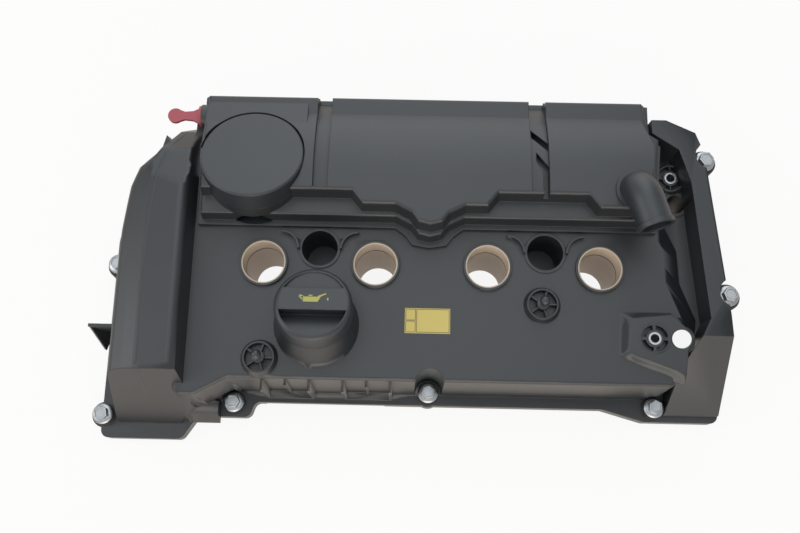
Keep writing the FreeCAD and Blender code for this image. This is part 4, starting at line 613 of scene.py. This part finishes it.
class COVER_OT_trim(CoverOperator, bpy.types.Operator):
    """Adds the crease line of the hump, the side fin and the small clip behind it"""

    bl_idname = "cover.trim"
    bl_label = "Crease, fin and clip"

    def execute(self, context):
        plastic = bpy.data.materials["cover_plastic"]
        finish_piece(self.crease_line(), "hump_crease_line", plastic, smooth=60)
        finish_piece(plate(FIN, FIN_THICK), "side_fin", plastic, smooth=30)
        finish_piece(plate(REAR_CLIP, REAR_CLIP_THICK), "rear_clip", plastic, smooth=30)
        return {"FINISHED"}

    def crease_line(self):
        """A fine raised line that follows the surface of the hump."""
        cover = bpy.data.objects["cover_moulding"].data
        surface = BVHTree.FromPolygons(
            [vert.co for vert in cover.vertices], [face.vertices for face in cover.polygons]
        )
        high_above = 150
        low, high = CREASE[0][0], CREASE[-1][0]
        mesh = bmesh.new()
        rows = []
        for step in range(CREASE_STEPS + 1):
            y = low + (high - low) * step / CREASE_STEPS
            x = between(CREASE, y)
            row = []
            for side, lift in CREASE_SECTION:
                hit = surface.ray_cast(Vector((x + side, y, high_above)) * MM, -UP)[0]
                row.append(mesh.verts.new(hit + UP * lift * MM))
            rows.append(row)
        for first, second in zip(rows, rows[1:]):
            for place in range(len(CREASE_SECTION) - 1):
                mesh.faces.new((first[place], first[place + 1], second[place + 1], second[place]))
        return mesh


class COVER_OT_plug(CoverOperator, bpy.types.Operator):
    """Gives the closing plug its soft red plastic"""

    bl_idname = "cover.plug"
    bl_label = "Closing plug"

    def execute(self, context):
        plug = moulded_plastic("plug_plastic", context.scene.cover_looks.plug_red, 0.5, 0.1, 0.0008)
        give(plug, NODES["transport_plug"])
        return {"FINISHED"}


class COVER_OT_liners(CoverOperator, bpy.types.Operator):
    """Gives the plug tubes a pale beige colour"""

    bl_idname = "cover.liners"
    bl_label = "Plug tubes"

    def execute(self, context):
        liner = moulded_plastic("liner_plastic", context.scene.cover_looks.liner, 0.42, 0.08, 0.0003)
        give(liner, *[NODES["plug_tube_%d" % number] for number in range(1, 5)])
        return {"FINISHED"}


class COVER_OT_seals(CoverOperator, bpy.types.Operator):
    """Gives the gaskets and seals their rubber"""

    bl_idname = "cover.seals"
    bl_label = "Seals"

    def execute(self, context):
        names = ["oil_cap_seal", "elbow_seal", "bolt_grommets", "pcv_diaphragm"]
        names += ["check_valve_%d" % number for number in (1, 2)]
        names += ["%s_%d" % (kind, number) for kind in ("tube_seal", "plug_gasket") for number in range(1, 5)]
        seal = rubber("seal_rubber")
        give(seal, *[NODES[name] for name in names])
        gasket = reshaped(plain_copy("main_gasket"))
        finish_piece(gasket, "joint_gasket", seal, replaced=["main_gasket"])
        return {"FINISHED"}


class COVER_OT_metal(CoverOperator, bpy.types.Operator):
    """Gives sleeves, inserts, screws and the spring their metal"""

    bl_idname = "cover.metal"
    bl_label = "Metal parts"

    def execute(self, context):
        names = ["bolt_sleeves", "threaded_insert_1", "threaded_insert_2", "baffle_screws", "pcv_spring"]
        give(zinc("zinc_plate"), *[NODES[name] for name in names])
        return {"FINISHED"}


class COVER_OT_bolts(CoverOperator, bpy.types.Operator):
    """Models the flange bolts with their chamfered heads and threads"""

    bl_idname = "cover.bolts"
    bl_label = "Flange bolts"

    def execute(self, context):
        mesh = bmesh.new()
        for index, (x, y, seat) in enumerate(BOLT_SPOTS):
            under = seat + HEAD_LIFT
            join(mesh, turned_part(HEAD_FLANGE, (x, y, under), 40))
            join(mesh, self.hexagon((x, y, under + HEX_FOOT + HEX_TALL / 2), HEX_TURN + HEX_TURN_STEP * index))
            join(mesh, turned_part(self.shank(BOLT_END - under), (x, y, under), 20))
        finish_piece(mesh, "bolts", zinc("bolt_zinc"), replaced=["cover_bolts"], smooth=40)
        return {"FINISHED"}

    def hexagon(self, at, turned):
        """The chamfered and dished hexagon of a head, turned by some degrees."""
        part = bmesh.new()
        bmesh.ops.create_cone(
            part, cap_ends=True, cap_tris=False, segments=6, radius1=HEX_RADIUS * MM, radius2=HEX_RADIUS * MM,
            depth=HEX_TALL * MM,
        )
        top = [edge for edge in part.edges if all(vert.co.z > 0 for vert in edge.verts)]
        bmesh.ops.bevel(
            part, geom=top, offset=0.5 * MM, offset_type="OFFSET", segments=2, profile=0.5, affect="EDGES",
            material=-1,
        )
        cap = [face for face in part.faces if face.normal.z > 0.9]
        bmesh.ops.inset_region(part, faces=cap, thickness=1.3 * MM, depth=-0.5 * MM)
        moved(part, at, Matrix.Rotation(math.radians(turned), 4, "Z"))
        return part

    def shank(self, low):
        """The profile of a plain shank with rolled thread rings near its end."""
        height = low + 0.7
        profile = [(0, low + 0.01), (2.2, low + 0.01), (2.9, height)]
        while height < min(low + THREAD_LONG, -PLAIN_SHANK):
            profile += [(2.55, height + 0.3), (2.95, height + 0.8)]
            height += THREAD_PITCH
        return profile + [(2.95, 0)]


class COVER_OT_cap_mark(CoverOperator, bpy.types.Operator):
    """Prints the oil can sign on the grip of the filler cap"""

    bl_idname = "cover.cap_mark"
    bl_label = "Oil can sign"

    def execute(self, context):
        mesh = bmesh.new()
        for outline in SIGN_OUTLINES:
            join(mesh, level_plate(outline, SIGN_SPOT, 0.12))
        moved(mesh, NECK_SPOT, NECK_TURN)
        yellow = ink("sign_ink", (0.42, 0.40, 0.10))
        finish_piece(mesh, "oil_can_sign", yellow, body="filler_cap", smooth=0)
        return {"FINISHED"}


class COVER_OT_label(CoverOperator, bpy.types.Operator):
    """Lays a plain two-part label on the deck"""

    bl_idname = "cover.label"
    bl_label = "Deck label"

    def execute(self, context):
        sheet = Finish("label_print")
        cloud = sheet.noise(120.0, 2.0, 0.5)
        yellow = context.scene.cover_looks.label_yellow
        sheet.set("Base Color", sheet.blend(cloud, [part * 0.92 for part in yellow], yellow))
        sheet.set("Roughness", 0.38 + cloud * 0.1)
        finish_piece(bevelled_box(LABEL_SIZE, LABEL_SPOT, 0.12), "deck_label", sheet.material, smooth=30)
        lines = bmesh.new()
        for right, back, long, wide in self.rules():
            spot = (LABEL_SPOT[0] + right, LABEL_SPOT[1] + back, RULE_HEIGHT)
            join(lines, bevelled_box((long, wide, RULE_THICK), spot, 0.02))
        finish_piece(lines, "label_lines", ink("label_ink", (0.03, 0.028, 0.022)), smooth=0)
        return {"FINISHED"}

    def rules(self):
        """The four rules round each frame: their middle, from that of the label, and their size."""
        rules = []
        for left, right, low, high in LABEL_FRAMES:
            wide = right - left
            tall = high - low
            x = (left + right) / 2
            y = (low + high) / 2
            rules += [(x, low, wide, RULE_WIDE), (x, high, wide, RULE_WIDE)]
            rules += [(left, y, RULE_WIDE, tall), (right, y, RULE_WIDE, tall)]
        return rules


class COVER_OT_stage(CoverOperator, bpy.types.Operator):
    """Sets the floor, the lamps, the sky and the camera"""

    bl_idname = "cover.stage"
    bl_label = "Stage"

    def execute(self, context):
        stage = context.scene.cover_stage
        self.lay_floor()
        self.set_sky(context.scene, stage.sky)
        self.add_lamp("top_lamp", (0.1, 0.35, 1.5), (0.1, 0.0, 0.05), 1.5, stage.top_light, COOL_WHITE)
        self.add_lamp("side_lamp", (-1.1, -0.1, 0.9), (0.05, 0.0, 0.05), 0.8, stage.side_light)
        self.add_lamp("rear_lamp", (0.12, 1.4, 0.75), (0.1, 0.05, 0.05), 1.6, stage.rear_light, COOL_WHITE)
        self.add_lamp("front_lamp", (0.1, -1.35, 0.6), (0.1, -0.05, 0.03), 1.3, stage.front_light, WARM_WHITE)
        self.set_camera(context.scene, stage.lens)
        return {"FINISHED"}

    def lay_floor(self):
        """A wide white floor that glows for the camera and in mirrored rays only."""
        mesh = bmesh.new()
        bmesh.ops.create_grid(mesh, x_segments=1, y_segments=1, size=4.0)
        floor = placed("floor", as_data(mesh, "floor"))
        paint = Finish("floor_white")
        paint.set("Base Color", (0.82, 0.78, 0.74, 1))
        paint.set("Roughness", 0.9)
        paint.set("Specular IOR Level", 0.1)
        rays = paint.node("ShaderNodeLightPath")
        camera = paint.out(rays, "Is Camera Ray")
        seen = camera + paint.out(rays, "Is Glossy Ray") + paint.out(rays, "Is Transmission Ray")
        glow = paint.node("ShaderNodeEmission", Strength=1.0)
        paint.feed(glow, "Color", paint.blend(camera, (1.0, 0.9, 0.81), (1, 1, 1)))
        mix = paint.node("ShaderNodeMixShader")
        paint.feed(mix, 0, seen.above(0.5) * 0.9)
        paint.feed(mix, 1, paint.out(paint.shader))
        paint.feed(mix, 2, paint.out(glow))
        paint.feed(paint.tree.nodes["Material Output"], "Surface", paint.out(mix))
        give(paint.material, floor)

    def set_sky(self, scene, strength):
        """An even sky that the camera sees as plain white."""
        world = bpy.data.worlds.new("studio")
        world.use_nodes = True
        scene.world = world
        tree = world.node_tree
        plain = tree.nodes["Background"]
        plain.inputs["Color"].default_value = (0.94, 0.98, 1, 1)
        plain.inputs["Strength"].default_value = strength
        white = tree.nodes.new("ShaderNodeBackground")
        white.inputs["Color"].default_value = (1, 1, 1, 1)
        white.inputs["Strength"].default_value = 1.0
        rays = tree.nodes.new("ShaderNodeLightPath")
        mix = tree.nodes.new("ShaderNodeMixShader")
        tree.links.new(rays.outputs["Is Camera Ray"], mix.inputs[0])
        tree.links.new(plain.outputs[0], mix.inputs[1])
        tree.links.new(white.outputs[0], mix.inputs[2])
        tree.links.new(mix.outputs[0], tree.nodes["World Output"].inputs["Surface"])
        scene.view_settings.view_transform = "Standard"

    def add_lamp(self, name, spot, aim, size, power, colour=(1, 1, 1)):
        """A round lamp, in metres, that looks at its aim."""
        lamp = bpy.data.lights.new(name, "AREA")
        lamp.shape = "DISK"
        lamp.size = size
        lamp.energy = power
        lamp.color = colour
        item = placed(name, lamp)
        item.location = spot
        item.rotation_euler = (Vector(aim) - Vector(spot)).to_track_quat("-Z", "Y").to_euler()

    def set_camera(self, scene, lens):
        """The photograph's viewpoint: from above and in front, almost level across."""
        yaw = Matrix.Rotation(CAMERA_YAW, 3, "Z")
        look = yaw @ Vector((0, math.sin(CAMERA_TILT), -math.cos(CAMERA_TILT)))
        level_up = yaw @ Vector((0, math.cos(CAMERA_TILT), math.sin(CAMERA_TILT)))
        level_right = yaw @ Vector((1, 0, 0))
        right = math.cos(CAMERA_ROLL) * level_right + math.sin(CAMERA_ROLL) * level_up
        up = math.cos(CAMERA_ROLL) * level_up - math.sin(CAMERA_ROLL) * level_right
        data = bpy.data.cameras.new("camera")
        data.sensor_fit = "HORIZONTAL"
        data.sensor_width = 36
        data.lens = lens
        data.clip_start = 0.01
        data.clip_end = 20
        camera = placed("camera", data)
        turn = Matrix((right, up, -look)).transposed().to_4x4()
        camera.matrix_world = Matrix.Translation(Vector(CAMERA_SPOT) * MM) @ turn
        scene.camera = camera


class COVER_PT_panel(bpy.types.Panel):
    """Shows the buttons of the steps that dress the valve cover, and their settings"""

    bl_idname = "COVER_PT_panel"
    bl_label = "Valve cover"
    bl_space_type = "VIEW_3D"
    bl_region_type = "UI"
    bl_category = "Valve cover"

    def draw(self, context):
        column = self.layout.column()
        for operator in OPERATORS:
            column.operator(operator.bl_idname)
        for settings in (context.scene.cover_looks, context.scene.cover_stage):
            for name in settings.bl_rna.properties.keys():
                if name not in {"rna_type", "name"}:
                    column.prop(settings, name)


# In the order of the run: the trim lies on the carved cover and shares its plastic.
OPERATORS = [
    COVER_OT_mouldings,
    COVER_OT_trim,
    COVER_OT_plug,
    COVER_OT_liners,
    COVER_OT_seals,
    COVER_OT_metal,
    COVER_OT_bolts,
    COVER_OT_cap_mark,
    COVER_OT_label,
    COVER_OT_stage,
]
CLASSES = [CoverSettings, StageSettings] + OPERATORS + [COVER_PT_panel]


def register():
    for item in CLASSES:
        bpy.utils.register_class(item)
    bpy.types.Scene.cover_looks = PointerProperty(type=CoverSettings)
    bpy.types.Scene.cover_stage = PointerProperty(type=StageSettings)


def unregister():
    del bpy.types.Scene.cover_stage
    del bpy.types.Scene.cover_looks
    for item in reversed(CLASSES):
        bpy.utils.unregister_class(item)


def main():
    register()
    for operator in OPERATORS:
        group, name = operator.bl_idname.split(".")
        getattr(getattr(bpy.ops, group), name)()


if __name__ == "__main__":
    main()
